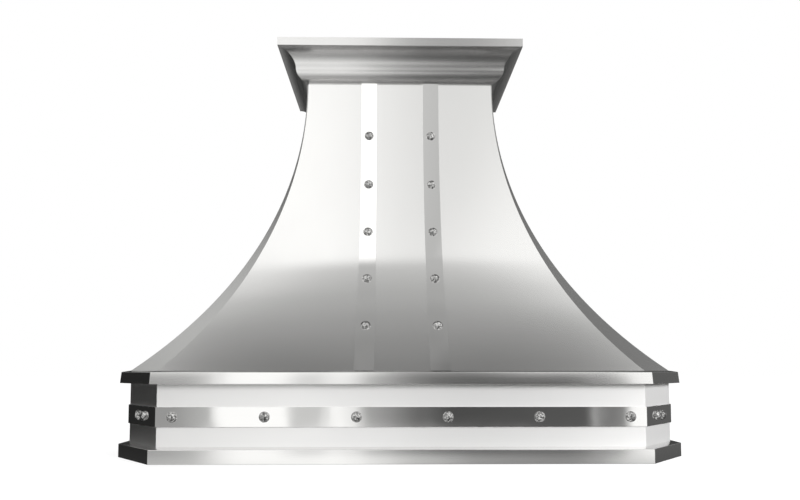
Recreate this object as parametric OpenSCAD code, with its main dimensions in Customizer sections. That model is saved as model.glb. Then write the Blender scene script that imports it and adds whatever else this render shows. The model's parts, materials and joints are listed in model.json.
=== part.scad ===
// Wall-mounted chimney range hood in stainless sheet, with a flared body and riveted straps.
// X runs to the right, the front faces -Y, the wall is the plane y = wall_y, and z = 0 is the foot.

/* [Overall] */
// Width across the bands
hood_w = 1220; // [1160:10:1340]
// Depth from the wall to the front of the bands
hood_d = 610; // [600:5:670]
// Height from the foot to the top of the crown
hood_h = 1007; // [980:1:1150]
// Thickness of the outer sheets
sheet_t = 1.5; // [1:0.1:2]

/* [Apron and bands] */
// Height of the apron, up to the top of the shoulder band
apron_h = 186; // [180:1:210]
// Height of the foot band where it meets the apron
foot_band_h = 32; // [24:1:40]
// Height of the shoulder band
shoulder_band_h = 27; // [20:1:36]
// How far the bands stand out from the apron
band_reach = 20; // [16:1:24]
// Leg of the cut corners, measured on the bands
corner_cut = 105; // [90:1:120]
// How far the tops of the bands fall from the apron to their outer edges
band_fall = 3; // [2:0.1:6]
// How far the shoulder band's face leans back over its height
shoulder_rake = 2.5; // [0.5:0.1:4]

/* [Flared body] */
// Width of the neck
neck_w = 475; // [460:1:520]
// Depth of the neck from the wall
neck_d = 312; // [306:1:330]
// Drop from the top of the hood to where the sides start to flare
side_flare_drop = 83; // [70:1:110]
// Drop from the top of the hood to where the front starts to flare
front_flare_drop = 111; // [95:1:125]
// Leg of the cut corners at the neck
neck_cut = 3; // [2.5:0.1:6]
// How sharply the cut corners widen towards the foot
corner_taper = 2.9; // [2:0.1:4]

/* [Crown] */
// How far the crown stands out from the neck
crown_reach = 66; // [58:1:74]
// Height of the plain face at the top of the crown
fascia_h = 20; // [14:1:24]
// Radius of the crown's round lower half, under its hollow
bead_r = 26; // [20:1:32]

/* [Straps and studs] */
// Width of the flat-bar straps
strap_w = 40; // [30:1:50]
// Thickness of the straps
strap_t = 3; // [2:0.5:5]
// Distance between the middles of the two upright straps
strap_gap = 157; // [120:1:220]
// Height of the middle of the apron strap
apron_strap_z = 92.5; // [80:0.5:105]
// Diameter of a stud's head
stud_d = 22; // [16:1:26]
// Height of a stud's head
stud_h = 8; // [5:0.5:10]
// Number of studs on each upright strap
strap_studs = 5; // [3:1:7]
// Length of an upright strap below its lowest stud, along the curve
strap_foot_margin = 125; // [80:1:160]
// Length of an upright strap above its highest stud
strap_top_margin = 141; // [80:1:180]
// Number of studs on the front of the apron strap
front_studs = 6; // [2:2:6]
// Distance from the end stud to the end of the flat front of the apron strap
front_stud_margin = 31.7; // [16:0.1:60]
// Number of studs on each side of the apron strap
side_studs = 3; // [1:1:3]
// Distance from the end stud to the end of the flat side of the apron strap
side_stud_margin = 88.4; // [30:0.1:110]
// Distance of a corner stud from the joint of the strap
corner_stud_gap = 15; // [13:0.5:24]

/* [Inner frame and wall rails] */
// Leg of the angle that the frames are made of
angle_leg = 25; // [20:1:30]
// Thickness of the angle
angle_t = 3; // [2:0.5:4]
// Height of a wall rail's bar
rail_h = 40; // [30:1:50]
// Thickness of a wall rail's bar
rail_t = 5; // [4:0.5:8]
// Diameter of the wall fixing holes
wall_hole_d = 9; // [6:0.5:11]
// Distance between the upper wall holes, one stud bay
upper_hole_gap = 406.4; // [300:0.1:410]
// Distance between the lower wall holes, two stud bays
lower_hole_gap = 812.8; // [600:0.1:820]
// Height of the lower wall holes
lower_hole_z = 220; // [215:1:240]
// Drop from the top of the hood to the upper wall holes
upper_hole_drop = 147; // [140:1:180]
// Length of the lower rail
lower_rail_w = 960; // [900:5:980]

/* [Liner] */
// Thickness of the liner's sheet
liner_t = 1.2; // [0.8:0.1:1.5]
// Height of the liner's top above the foot
liner_top = 150; // [145:1:160]
// Width of the liner's rim at the sides and the front
liner_rim = 66; // [60:1:72]
// Height of the rim's underside above the foot
rim_lift = 2; // [2:0.1:3]
// Depth of the shelf that holds the lamps and the knobs
shelf_d = 90; // [86:1:96]
// Height of the shelf's underside above the foot
shelf_z = 45; // [40:1:50]
// Diameter of a rim screw
screw_d = 5; // [4:0.5:6]

/* [Filters and grease tray] */
// Thickness of a filter
filter_t = 18; // [16:1:20]
// Slope of the filters
filter_slope = 8; // [5:0.5:10]
// Height of the edge that the filters hinge on
filter_hinge_z = 62; // [60:1:68]
// Length of a filter behind its hinge edge
filter_tail = 20; // [16:1:22]
// Distance between neighbouring filters
filter_gap = 2; // [1.5:0.5:4]
// Width of a filter's frame
filter_rail = 14; // [10:1:18]
// Thickness of the filter's sheet
filter_sheet = 1.2; // [0.8:0.1:1.4]
// Distance between neighbouring baffles of one row
baffle_pitch = 36; // [30:1:40]
// Width of one baffle
baffle_w = 24; // [20:1:26]
// Height of one baffle
baffle_h = 6.5; // [5:0.1:6.8]
// Thickness of a baffle
baffle_t = 0.8; // [0.6:0.1:1.2]
// Width of a filter's pull handle
handle_w = 90; // [70:1:110]
// Drop of the pull handle
handle_drop = 22; // [18:1:26]
// Diameter of the pull handle's rod
handle_rod = 5; // [4:0.5:6]
// Depth of the grease tray, front to back
tray_d = 32; // [28:1:34]
// Height of the grease tray
tray_h = 28; // [20:1:29]
// Thickness of the grease tray
tray_t = 1.2; // [0.8:0.1:1.5]
// Height of the grease tray's underside above the foot
tray_z = 18; // [16:1:19]
// Height of the lips that the grease tray lifts over
tray_lip_h = 8; // [5:0.5:9]

/* [Knobs and lamps] */
// Diameter of a knob
knob_d = 36; // [30:1:42]
// Height of a knob
knob_h = 18; // [14:1:22]
// Distance between the two knobs
knob_gap = 90; // [60:1:120]
// Diameter of a knob's shaft
knob_shaft_d = 6; // [5:0.5:8]
// Width of a switch body
switch_w = 32; // [28:1:40]
// Height of a switch body
switch_h = 26; // [22:1:32]
// Diameter of a lamp's bezel
lamp_d = 78; // [70:1:82]
// Distance between the two lamps
lamp_gap = 640; // [500:5:760]
// Depth of a lamp's body above the shelf
lamp_depth = 36; // [30:1:50]

/* [Blower] */
// Diameter of the impeller
impeller_d = 200; // [190:1:206]
// Width of the impeller
impeller_w = 170; // [150:1:190]
// Number of blades on the impeller
blades = 32; // [24:1:40]
// Depth of a blade
blade_d = 18; // [14:1:22]
// Width of the blower's housing inside
blower_w = 190; // [186:1:200]
// Gap between the impeller and the housing where the scroll is tightest
scroll_gap = 12; // [10:1:14]
// How much the scroll's radius grows
scroll_growth = 48; // [44:1:52]
// Depth of the blower's outlet
outlet_d = 140; // [130:1:150]
// Thickness of the housing
blower_t = 1.2; // [1:0.1:1.5]
// Height of the blower's shaft above the liner
shaft_lift = 180; // [176:1:190]
// Diameter of the motor
motor_d = 120; // [100:1:128]
// Length of the motor
motor_l = 76; // [60:1:80]
// Diameter of the motor's shaft
shaft_d = 10; // [8:1:14]
// Width of the blower box
box_w = 540; // [480:5:580]
// Height of the blower box
box_h = 330; // [326:1:344]

/* [Duct] */
// Distance from the duct collar's spigot to the neck's front and to the wall
duct_gap = 29; // [25:0.5:40]
// How far the collar is necked in below its flange
collar_step = 1.5; // [1:0.1:2]
// Thickness of the duct
duct_t = 1; // [0.8:0.1:1.2]
// Height of the square-to-round boot on the blower box
boot_h = 80; // [60:1:110]
// Drop from the top of the hood to the collar's upper rim
collar_drop = 5; // [3:1:12]
// Length of the collar
collar_l = 150; // [146:1:170]
// Drop from the top of the hood to the top plate
plate_drop = 65; // [60:1:75]
// Thickness of the top plate
plate_t = 2; // [1.5:0.1:3]
// Diameter of the damper's pin
damper_pin_d = 5; // [4:0.5:8]
// Thickness of a damper flap
flap_t = 1; // [0.8:0.1:1.5]

/* [Junction box and wiring] */
// Width and depth of the junction box
jbox_w = 110; // [90:1:130]
// Height of the junction box
jbox_h = 50; // [40:1:60]
// Distance from the liner's end wall to the middle of the junction box
jbox_inset = 122.5; // [100:0.5:132]
// Diameter of the internal cables
loom_d = 9; // [7:0.5:12]

/* [Hidden] */
$fn = 64;

// Overrun of every cut, and the clearances that pieces share
overrun = 1;
seat_gap = 0.3;
run_gap = 0.05;
slip_gap = 0.6;
swing_gap = 4;

// Planes and levels that the pieces share
wall_y = hood_d / 2;
front_y = -hood_d / 2;
half_w = hood_w / 2;
cut_slip = 2 - sqrt(2);
cove_x = crown_reach - sheet_t;
cove_r = cove_x - bead_r;
cove_z = hood_h - fascia_h - cove_r;
cove_steps = 10;
cove_turn = 90 / cove_steps;
crown_mid_z = cove_z;
crown_z = crown_mid_z - bead_r;
side_flare_z = hood_h - side_flare_drop;
front_flare_z = hood_h - front_flare_drop;
apron_half_w = half_w - band_reach;
apron_depth = hood_d - band_reach;
apron_cut = corner_cut - band_reach * cut_slip;
inner_wall_y = wall_y - sheet_t;

// Number of straight steps that stand for each curve of the flare
flare_steps = 32;
levels = concat(
    [for (i = [0:flare_steps]) apron_h + (crown_z - apron_h) * i / flare_steps],
    [hood_h]
);
strap_levels = [for (i = [0:flare_steps]) levels[i]];

// The flare: a circular arc, upright at the neck, that ends at the apron's upper edge
side_run = apron_half_w - neck_w / 2;
front_run = apron_depth - neck_d;
function arc_radius(run, drop) = (run * run + drop * drop) / (2 * run);
side_r = arc_radius(side_run, side_flare_z - apron_h);
front_r = arc_radius(front_run, front_flare_z - apron_h);
function lean(r, drop) = drop > 0 ? asin(drop / r) : 0;
function side_x(z) = neck_w / 2 + side_r * (1 - cos(lean(side_r, side_flare_z - z)));
function front_depth(z) = neck_d + front_r * (1 - cos(lean(front_r, front_flare_z - z)));
function side_wall(z) = sheet_t / cos(lean(side_r, side_flare_z - z));
function front_wall(z, t) = t / cos(lean(front_r, front_flare_z - z));
function flare_cut(z) = z > side_flare_z ? neck_cut : neck_cut
    + (apron_cut - neck_cut) * pow((side_flare_z - z) / (side_flare_z - apron_h), corner_taper);

function reversed(list) = [for (i = [len(list) - 1:-1:0]) list[i]];
function arc_points(x, y, r, from, to, steps) =
    [for (i = [0:steps]) let (a = from + (to - from) * i / steps) [x + r * cos(a), y + r * sin(a)]];

// Outline of the hood in plan, from the left end at the wall round to the right end.
// back is the y of its two ends, and inset moves the other sides inwards.
function outline(w, depth, cut, inset, back = wall_y) =
    let (x = w - inset, y = wall_y - depth + inset, c = cut > 0 ? cut - inset * cut_slip : 0)
    [[-x, back], [-x, y + c], [-x + c, y], [x - c, y], [x, y + c], [x, back]];

module along_x(x0, x1) {
    translate([x0, 0, 0])
        rotate([90, 0, 90])
            linear_extrude(x1 - x0)
                children();
}

module along_y(y0, y1) {
    translate([0, y1, 0])
        rotate([90, 0, 0])
            linear_extrude(y1 - y0)
                children();
}

module block(low, high) {
    translate(low)
        cube(high - low);
}

// A flat ring between two insets of the apron's outline, open at the wall
module apron_ring(outer, inner) {
    difference() {
        polygon(outline(apron_half_w, apron_depth, apron_cut, outer));
        polygon(outline(apron_half_w, apron_depth, apron_cut, inner, wall_y + overrun));
    }
}

// The part of the plan in front of the joints in the middle of the two cut corners
module front_sector() {
    out = strap_t + overrun;
    polygon([
        [-half_w - out, front_y - out], [half_w + out, front_y - out],
        [half_w - corner_cut, front_y + corner_cut], [corner_cut - half_w, front_y + corner_cut]
    ]);
}

module right_sector() {
    out = strap_t + overrun;
    polygon([
        [half_w + out, front_y - out], [half_w + out, wall_y + overrun],
        [half_w - corner_cut, wall_y + overrun], [half_w - corner_cut, front_y + corner_cut]
    ]);
}

// One straight stretch of a moulding on a wall, mitred to its neighbours. The section's points
// are [distance out from the wall, height].
module moulding(w, depth, cut, edge, section, reach) {
    out = reach + overrun;
    face = outline(w, depth, cut, 0);
    rim = outline(w, depth, cut, -out);
    a = face[edge];
    b = face[edge + 1];
    intersection() {
        translate([0, 0, -overrun])
            linear_extrude(hood_h + 2 * overrun)
                polygon([a, b, rim[edge + 1], rim[edge]]);
        translate([a[0], a[1], 0])
            rotate([0, 0, atan2(b[1] - a[1], b[0] - a[0])])
                along_x(-out, norm(b - a) + out)
                    polygon([for (p = section) [-p[0], p[1]]]);
    }
}

// Section of a hollow band that is folded from sheet and open towards the apron. Its top falls
// outwards, and its face leans back by the rake.
function band_section(z, h, rake) =
    let (
        edge_x = band_reach - rake,
        inner_x = edge_x - sheet_t,
        edge_z = z + h - band_fall,
        inner_z = z + h - band_fall * inner_x / edge_x - sheet_t
    )
    [
        [0, z], [band_reach, z], [edge_x, edge_z], [0, z + h],
        [0, z + h - sheet_t], [inner_x, inner_z], [band_reach - sheet_t, z + sheet_t],
        [0, z + sheet_t]
    ];

module band(z, h, rake) {
    for (edge = [0:4])
        moulding(apron_half_w, apron_depth, apron_cut, edge, band_section(z, h, rake), band_reach);
}

// Crown: its section is round below and hollow above, in one smooth curve up to the plain fascia
fascia_z = hood_h - fascia_h;
crown_section = concat(
    arc_points(0, crown_mid_z, bead_r, -90, 0, cove_steps),
    arc_points(cove_x, cove_z, cove_r, 180 - cove_turn, 90, cove_steps - 1),
    [[crown_reach, fascia_z], [crown_reach, hood_h], [0, hood_h], [0, hood_h - sheet_t]],
    [[crown_reach - sheet_t, hood_h - sheet_t]],
    arc_points(cove_x, cove_z, cove_r + sheet_t, 90, 180, cove_steps),
    arc_points(0, crown_mid_z, bead_r - sheet_t, -cove_turn, -90, cove_steps - 1)
);

module crown(edge) {
    color("gainsboro")
        moulding(neck_w / 2, neck_d, 0, edge, crown_section, crown_reach);
}
module crown_left() { crown(0); }
module crown_front() { crown(2); }
module crown_right() { crown(4); }

// Flared body
module front_panel() {
    color("whitesmoke")
        intersection() {
            along_x(-half_w, half_w)
                polygon(concat(
                    [for (z = levels) [wall_y - front_depth(z), z]],
                    [for (z = reversed(levels)) [wall_y - front_depth(z) + front_wall(z, sheet_t), z]]
                ));
            along_y(front_y - overrun, wall_y)
                polygon(concat(
                    [for (z = levels) [side_x(z) - flare_cut(z), z]],
                    [for (z = reversed(levels)) [flare_cut(z) - side_x(z), z]]
                ));
        }
}

module right_side_panel() {
    color("lightgray")
        intersection() {
            along_y(front_y - overrun, wall_y)
                polygon(concat(
                    [for (z = levels) [side_x(z), z]],
                    [for (z = reversed(levels)) [side_x(z) - side_wall(z), z]]
                ));
            along_x(0, half_w)
                polygon(concat(
                    [for (z = levels) [wall_y - front_depth(z) + flare_cut(z), z]],
                    [[wall_y, hood_h], [wall_y, apron_h]]
                ));
        }
}
module left_side_panel() { mirror([1, 0, 0]) right_side_panel(); }

function corner_ring(z) =
    let (x = side_x(z), y = wall_y - front_depth(z), c = flare_cut(z))
    [
        [x - c, y, z], [x, y + c, z],
        [x - side_wall(z), y + c, z], [x - c, y + front_wall(z, sheet_t), z]
    ];

module right_corner_panel() {
    last = len(levels) - 1;
    color("silver")
        polyhedron(
            points = [for (z = levels) each corner_ring(z)],
            faces = concat(
                [[0, 1, 2], [0, 2, 3]],
                [for (i = [0:last - 1], k = [0:3]) [4 * i + k, 4 * i + 4 + k, 4 * i + (k + 1) % 4]],
                [for (i = [0:last - 1], k = [0:3])
                    [4 * i + 4 + k, 4 * i + 4 + (k + 1) % 4, 4 * i + (k + 1) % 4]],
                [[4 * last, 4 * last + 2, 4 * last + 1], [4 * last, 4 * last + 3, 4 * last + 2]]
            )
        );
}
module left_corner_panel() { mirror([1, 0, 0]) right_corner_panel(); }

// The closing sheet at the wall, drilled for the wall fixings
inner_apron_x = apron_half_w - sheet_t;
upper_hole_z = hood_h - upper_hole_drop;

module wall_holes(gap, z) {
    for (side = [-1, 1])
        translate([side * gap / 2, wall_y + overrun, z])
            rotate([90, 0, 0])
                cylinder(h = sheet_t + rail_t + 2 * overrun, d = wall_hole_d);
}

module back_panel() {
    edge = concat(
        [[inner_apron_x, 0], [inner_apron_x, apron_h]],
        [for (z = levels) [side_x(z) - side_wall(z), z]]
    );
    color("lightgray")
        difference() {
            along_y(inner_wall_y, wall_y)
                polygon(concat(edge, [for (p = reversed(edge)) [-p[0], p[1]]]));
            wall_holes(upper_hole_gap, upper_hole_z);
            wall_holes(lower_hole_gap, lower_hole_z);
        }
}

module wall_rail(w, gap, z) {
    color("dimgray")
        difference() {
            block([-w / 2, inner_wall_y - rail_t, z - rail_h / 2], [w / 2, inner_wall_y, z + rail_h / 2]);
            wall_holes(gap, z);
        }
}
module wall_rails() {
    wall_rail(neck_w - 2 * sheet_t, upper_hole_gap, upper_hole_z);
    wall_rail(lower_rail_w, lower_hole_gap, lower_hole_z);
}

// Apron and bands
module apron_front() {
    color("whitesmoke")
        linear_extrude(apron_h)
            intersection() {
                apron_ring(0, sheet_t);
                front_sector();
            }
}

module apron_right() {
    color("lightgray")
        linear_extrude(apron_h)
            intersection() {
                apron_ring(0, sheet_t);
                right_sector();
            }
}
module apron_left() { mirror([1, 0, 0]) apron_right(); }

module foot_band() {
    color("silver")
        band(0, foot_band_h, 0);
}

module shoulder_band() {
    color("silver")
        band(apron_h - shoulder_band_h, shoulder_band_h, shoulder_rake);
}

// Straps
module apron_strap_front() {
    color("darkgray")
        translate([0, 0, apron_strap_z - strap_w / 2])
            linear_extrude(strap_w)
                intersection() {
                    apron_ring(-strap_t, 0);
                    front_sector();
                }
}

module apron_strap_right() {
    color("darkgray")
        translate([0, 0, apron_strap_z - strap_w / 2])
            linear_extrude(strap_w)
                intersection() {
                    apron_ring(-strap_t, 0);
                    right_sector();
                }
}
module apron_strap_left() { mirror([1, 0, 0]) apron_strap_right(); }

module upright_strap(x) {
    color("darkgray")
        along_x(x - strap_w / 2, x + strap_w / 2)
            polygon(concat(
                [for (z = strap_levels) [wall_y - front_depth(z), z]],
                [for (z = reversed(strap_levels)) [wall_y - front_depth(z) - front_wall(z, strap_t), z]]
            ));
}
module left_strap() { upright_strap(-strap_gap / 2); }
module right_strap() { upright_strap(strap_gap / 2); }

// A polished stud: a low dome whose flat back lies at its origin and whose head points along +Z
module stud() {
    dome_r = (stud_d * stud_d / 4 + stud_h * stud_h) / (2 * stud_h);
    color("silver")
        intersection() {
            translate([0, 0, stud_h - dome_r])
                sphere(r = dome_r);
            translate([0, 0, -seat_gap])
                cylinder(h = stud_h + seat_gap + overrun, d = stud_d);
        }
}

// The studs stand at one even pitch along the curve of an upright strap
strap_lean = lean(front_r, front_flare_z - apron_h);
strap_arc_l = front_r * strap_lean * PI / 180;
strap_l = strap_arc_l + crown_z - front_flare_z;
strap_pitch = (strap_l - strap_foot_margin - strap_top_margin) / (strap_studs - 1);
function stud_lean(along) = max(0, (strap_arc_l - along) / front_r * 180 / PI);
function stud_z(along) = along > strap_arc_l
    ? front_flare_z + along - strap_arc_l
    : front_flare_z - front_r * sin(stud_lean(along));

module strap_studs_set() {
    difference() {
        for (x = [-strap_gap / 2, strap_gap / 2], i = [0:strap_studs - 1]) {
            along = strap_foot_margin + i * strap_pitch;
            z = stud_z(along);
            a = stud_lean(along);
            translate([x, wall_y - front_depth(z) - strap_t * cos(a), z + strap_t * sin(a)])
                rotate([90 - a, 0, 0])
                    stud();
        }
        left_strap();
        right_strap();
    }
}

module apron_studs_set() {
    stud_y = wall_y - apron_depth - strap_t;
    stud_x = apron_half_w + strap_t;
    flat_l = apron_depth - apron_cut;
    joint = outline(apron_half_w, apron_depth, apron_cut, -strap_t);
    middle = (joint[3] + joint[4]) / 2;
    along = corner_stud_gap * sqrt(0.5);
    front_l = 2 * (apron_half_w - apron_cut);
    front_pitch = front_studs > 1 ? (front_l - 2 * front_stud_margin) / (front_studs - 1) : 0;
    side_pitch = side_studs > 1 ? (flat_l - 2 * side_stud_margin) / (side_studs - 1) : 0;
    side_y = wall_y - flat_l / 2;
    difference() {
        translate([0, 0, apron_strap_z]) {
            for (i = [0:front_studs - 1])
                translate([(i - (front_studs - 1) / 2) * front_pitch, stud_y, 0])
                    rotate([90, 0, 0])
                        stud();
            for (side = [-1, 1]) {
                for (i = [0:side_studs - 1])
                    translate([side * stud_x, side_y + (i - (side_studs - 1) / 2) * side_pitch, 0])
                        rotate([0, side * 90, 0])
                            stud();
                for (end = [-1, 1])
                    translate([side * (middle[0] + end * along), middle[1] + end * along, 0])
                        rotate([90, 0, side * 45])
                            stud();
            }
        }
        apron_strap_front();
        apron_strap_left();
        apron_strap_right();
    }
}

// Inner frames: two rings of angle, one at the foot and one under the shoulder
rim_top = rim_lift + liner_t;

module frame_ring(inset) {
    difference() {
        polygon(outline(apron_half_w, apron_depth, apron_cut, sheet_t, inner_wall_y));
        polygon(outline(apron_half_w, apron_depth, apron_cut, sheet_t + inset, inner_wall_y - inset));
    }
}

module base_frame() {
    color("dimgray")
        difference() {
            translate([0, 0, rim_top]) {
                linear_extrude(angle_t)
                    frame_ring(angle_leg);
                linear_extrude(angle_leg)
                    frame_ring(angle_t);
            }
            rim_screw_places()
                cylinder(h = rim_top + angle_t + overrun, d = screw_d);
            pan_x = bay_x + liner_t + slip_gap;
            block(
                [-pan_x, bay_front - liner_t - slip_gap, 0],
                [pan_x, bay_back + liner_t + slip_gap, rim_top + angle_leg + overrun]
            );
        }
}

module shoulder_frame() {
    color("dimgray") {
        translate([0, 0, apron_h - angle_t])
            linear_extrude(angle_t)
                frame_ring(angle_leg);
        translate([0, 0, apron_h - angle_leg])
            linear_extrude(angle_leg)
                frame_ring(angle_t);
    }
}

// Liner
bay_x = inner_apron_x - liner_rim;
bay_front = wall_y - apron_depth + sheet_t + liner_rim;
bay_back = inner_wall_y - angle_leg - liner_t - slip_gap;
riser_y = bay_front + shelf_d;
screw_line = angle_leg / 2;
screw_row = bay_x - angle_leg;

module rim_screw_places() {
    front = wall_y - apron_depth + sheet_t + screw_line;
    for (share = [-0.8, -0.27, 0.27, 0.8])
        translate([share * screw_row, front, 0])
            children();
    for (side = [-1, 1], y = [riser_y, (riser_y + bay_back) / 2, bay_back])
        translate([side * (inner_apron_x - screw_line), y, 0])
            children();
}

module rim_screws() {
    head_d = 2 * screw_d;
    head_h = rim_lift - seat_gap;
    color("silver")
        rim_screw_places() {
            translate([0, 0, seat_gap])
                cylinder(h = head_h, d = head_d);
            translate([0, 0, seat_gap])
                cylinder(h = head_h + liner_t + angle_t, d = screw_d);
        }
}

// Hinge line of the filters, and the sizes that follow from it
tray_back = bay_back - slip_gap;
tray_front = tray_back - tray_d;
ledge_w = 8;
ledge_h = 10;
tray_ear_w = 24;
hinge_y = tray_front - slip_gap - ledge_w;
filter_nose = hinge_y - riser_y - swing_gap;

module in_filter_slope() {
    translate([0, hinge_y, filter_hinge_z])
        rotate([-filter_slope, 0, 0])
            children();
}

// The box's footprint on the liner
scroll_min = impeller_d / 2 + scroll_gap;
scroll_max = scroll_min + scroll_growth;
duct_d = neck_d - 2 * duct_gap;
duct_y = inner_wall_y - (neck_d - 2 * sheet_t) / 2;
jbox_x = bay_x - jbox_inset;
blower_y = duct_y + outlet_d / 2 - scroll_max;
shaft_z = liner_top + shaft_lift;
box_lip = 12;
box_front = blower_y - scroll_min - scroll_growth / 2 - box_lip / 2;
box_back = bay_back - box_lip / 2;
box_top = liner_top + box_h;

lamp_y = (bay_front + riser_y) / 2;
lens_rim = 7;
lamp_lap = 4;
lamp_ring_h = 3;
lens_d = lamp_d - 2 * lens_rim;
lamp_hole_d = lamp_d - 2 * lamp_lap;

module lamp_places() {
    for (side = [-1, 1])
        translate([side * lamp_gap / 2, lamp_y, 0])
            children();
}

module knob_places() {
    for (side = [-1, 1])
        translate([side * knob_gap / 2, lamp_y, 0])
            children();
}

// Fine seam between two strips of the rim, from a corner of the bay outwards
module liner_seam(x, y, angle) {
    translate([x, y])
        rotate(angle)
            translate([0, -seat_gap / 2])
                square([hood_w, seat_gap]);
}

// Flat rim round the bay, from four strips that are mitred at the corners
module liner_rim() {
    edge_x = bay_x + liner_t;
    edge_front = bay_front - liner_t;
    edge_back = bay_back + liner_t;
    color("silver")
        difference() {
            translate([0, 0, rim_lift])
                linear_extrude(liner_t)
                    difference() {
                        polygon(outline(apron_half_w, apron_depth, apron_cut, sheet_t, inner_wall_y));
                        translate([-edge_x, edge_front])
                            square([2 * edge_x, edge_back - edge_front]);
                        liner_seam(edge_x, edge_front, -45);
                        liner_seam(-edge_x, edge_front, -135);
                        liner_seam(edge_x, edge_back, 45);
                        liner_seam(-edge_x, edge_back, 135);
                    }
            rim_screw_places()
                cylinder(h = rim_top + overrun, d = screw_d);
        }
}

// Folded shelf in front of the filters: front wall, cheeks, shelf and riser
module lamp_shelf() {
    inner_x = bay_x - seat_gap;
    shelf_top = shelf_z + liner_t;
    color("silver") {
        block([-inner_x, bay_front - liner_t, rim_lift], [inner_x, bay_front, shelf_top]);
        for (side = [0, 1])
            mirror([side, 0, 0])
                block(
                    [bay_x, bay_front - liner_t, rim_lift],
                    [bay_x + liner_t, riser_y - liner_t, shelf_top]
                );
        block([-inner_x, riser_y - liner_t, shelf_z], [inner_x, riser_y, liner_top - liner_t]);
        difference() {
            block(
                [-inner_x, bay_front + seat_gap, shelf_z],
                [inner_x, riser_y - liner_t - seat_gap, shelf_top]
            );
            lamp_places()
                translate([0, 0, shelf_z - overrun])
                    cylinder(h = liner_t + 2 * overrun, d = lamp_hole_d);
            knob_places()
                translate([0, 0, shelf_z - overrun])
                    cylinder(h = liner_t + 2 * overrun, d = knob_shaft_d + 2 * slip_gap);
        }
    }
}

// A small bracket beside the end wall that one end of the grease tray stands on, with a lip in front
module tray_ear(x0, x1) {
    ear_z = tray_z - seat_gap;
    ear_front = tray_front - slip_gap;
    block([x0, ear_front - liner_t, ear_z - liner_t], [x1, bay_back - seat_gap, ear_z]);
    block([x0, ear_front - liner_t, ear_z + seat_gap], [x1, ear_front, ear_z + tray_lip_h]);
}

// End walls, back wall, roof with the blower's inlet, filter ledge and tray brackets
module liner_pan() {
    inner_x = bay_x - seat_gap;
    roof_z = liner_top - liner_t;
    inlet_x = box_w / 2 - box_lip;
    color("silver") {
        for (side = [0, 1])
            mirror([side, 0, 0]) {
                block(
                    [bay_x, riser_y - liner_t, rim_lift],
                    [bay_x + liner_t, bay_back + liner_t, liner_top]
                );
                tray_ear(inner_x - tray_ear_w, inner_x);
            }
        block([-inner_x, bay_back, rim_lift], [inner_x, bay_back + liner_t, roof_z - seat_gap]);
        in_filter_slope()
            block([-inner_x, 0, -seat_gap - ledge_h], [inner_x, ledge_w, -seat_gap]);
        difference() {
            block([-inner_x, riser_y - liner_t, roof_z], [inner_x, bay_back + liner_t, liner_top]);
            block(
                [-inlet_x, box_front + box_lip, roof_z - overrun],
                [inlet_x, box_back - box_lip, liner_top + overrun]
            );
            for (side = [-1, 1])
                translate([side * inlet_x - seat_gap / 2, front_y, roof_z - overrun])
                    cube([seat_gap, hood_d, liner_t + 2 * overrun]);
        }
    }
}

// Filters: three alike, side by side, each with two staggered rows of baffles and a pull handle
filter_w = (2 * bay_x - 4 * filter_gap) / 3;
filter_step = filter_w + filter_gap;

module filter_frame(place) {
    x0 = place * filter_step - filter_w / 2;
    x1 = x0 + filter_w;
    y0 = -filter_nose;
    y1 = filter_tail;
    color("silver")
        in_filter_slope()
            difference() {
                block([x0, y0, 0], [x1, y1, filter_t]);
                block(
                    [x0 + filter_rail, y0 + filter_rail, -overrun],
                    [x1 - filter_rail, y1 - filter_rail, filter_t + overrun]
                );
                block(
                    [x0 + filter_sheet, y0 + filter_sheet, filter_sheet],
                    [x1 - filter_sheet, y1 - filter_sheet, filter_t - filter_sheet]
                );
            }
}
module left_filter() { filter_frame(-1); }
module centre_filter() { filter_frame(0); }
module right_filter() { filter_frame(1); }

// A baffle is a shallow channel. The lower row opens upwards, and the upper row opens downwards.
module baffle(x, z, up) {
    y0 = filter_sheet - filter_nose;
    y1 = filter_tail - filter_sheet;
    difference() {
        block([x - baffle_w / 2, y0, z], [x + baffle_w / 2, y1, z + baffle_h]);
        block(
            [x - baffle_w / 2 + baffle_t, y0 - overrun, z + (up ? baffle_t : -overrun)],
            [x + baffle_w / 2 - baffle_t, y1 + overrun, z + baffle_h + (up ? overrun : -baffle_t)]
        );
    }
}

module baffles(place) {
    room = filter_w - 2 * filter_sheet - baffle_w;
    pairs = floor(room / baffle_pitch);
    x0 = place * filter_step - pairs * baffle_pitch / 2;
    color("gainsboro")
        in_filter_slope() {
            for (i = [0:pairs])
                baffle(x0 + i * baffle_pitch, filter_sheet, true);
            for (i = [0:pairs - 1])
                baffle(x0 + (i + 0.5) * baffle_pitch, filter_t - filter_sheet - baffle_h, false);
        }
}
module left_baffles() { baffles(-1); }
module centre_baffles() { baffles(0); }
module right_baffles() { baffles(1); }

module filter_handle(place) {
    x = place * filter_step;
    y = filter_rail / 2 - filter_nose;
    color("silver")
        in_filter_slope() {
            for (side = [-1, 1])
                translate([x + side * handle_w / 2, y, -handle_drop])
                    cylinder(h = handle_drop, d = handle_rod);
            translate([x - handle_w / 2, y, -handle_drop])
                rotate([0, 90, 0])
                    cylinder(h = handle_w, d = handle_rod);
            for (side = [-1, 1])
                translate([x + side * handle_w / 2, y, -handle_drop])
                    sphere(d = handle_rod);
        }
}
module left_filter_handle() { filter_handle(-1); }
module centre_filter_handle() { filter_handle(0); }
module right_filter_handle() { filter_handle(1); }

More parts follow.
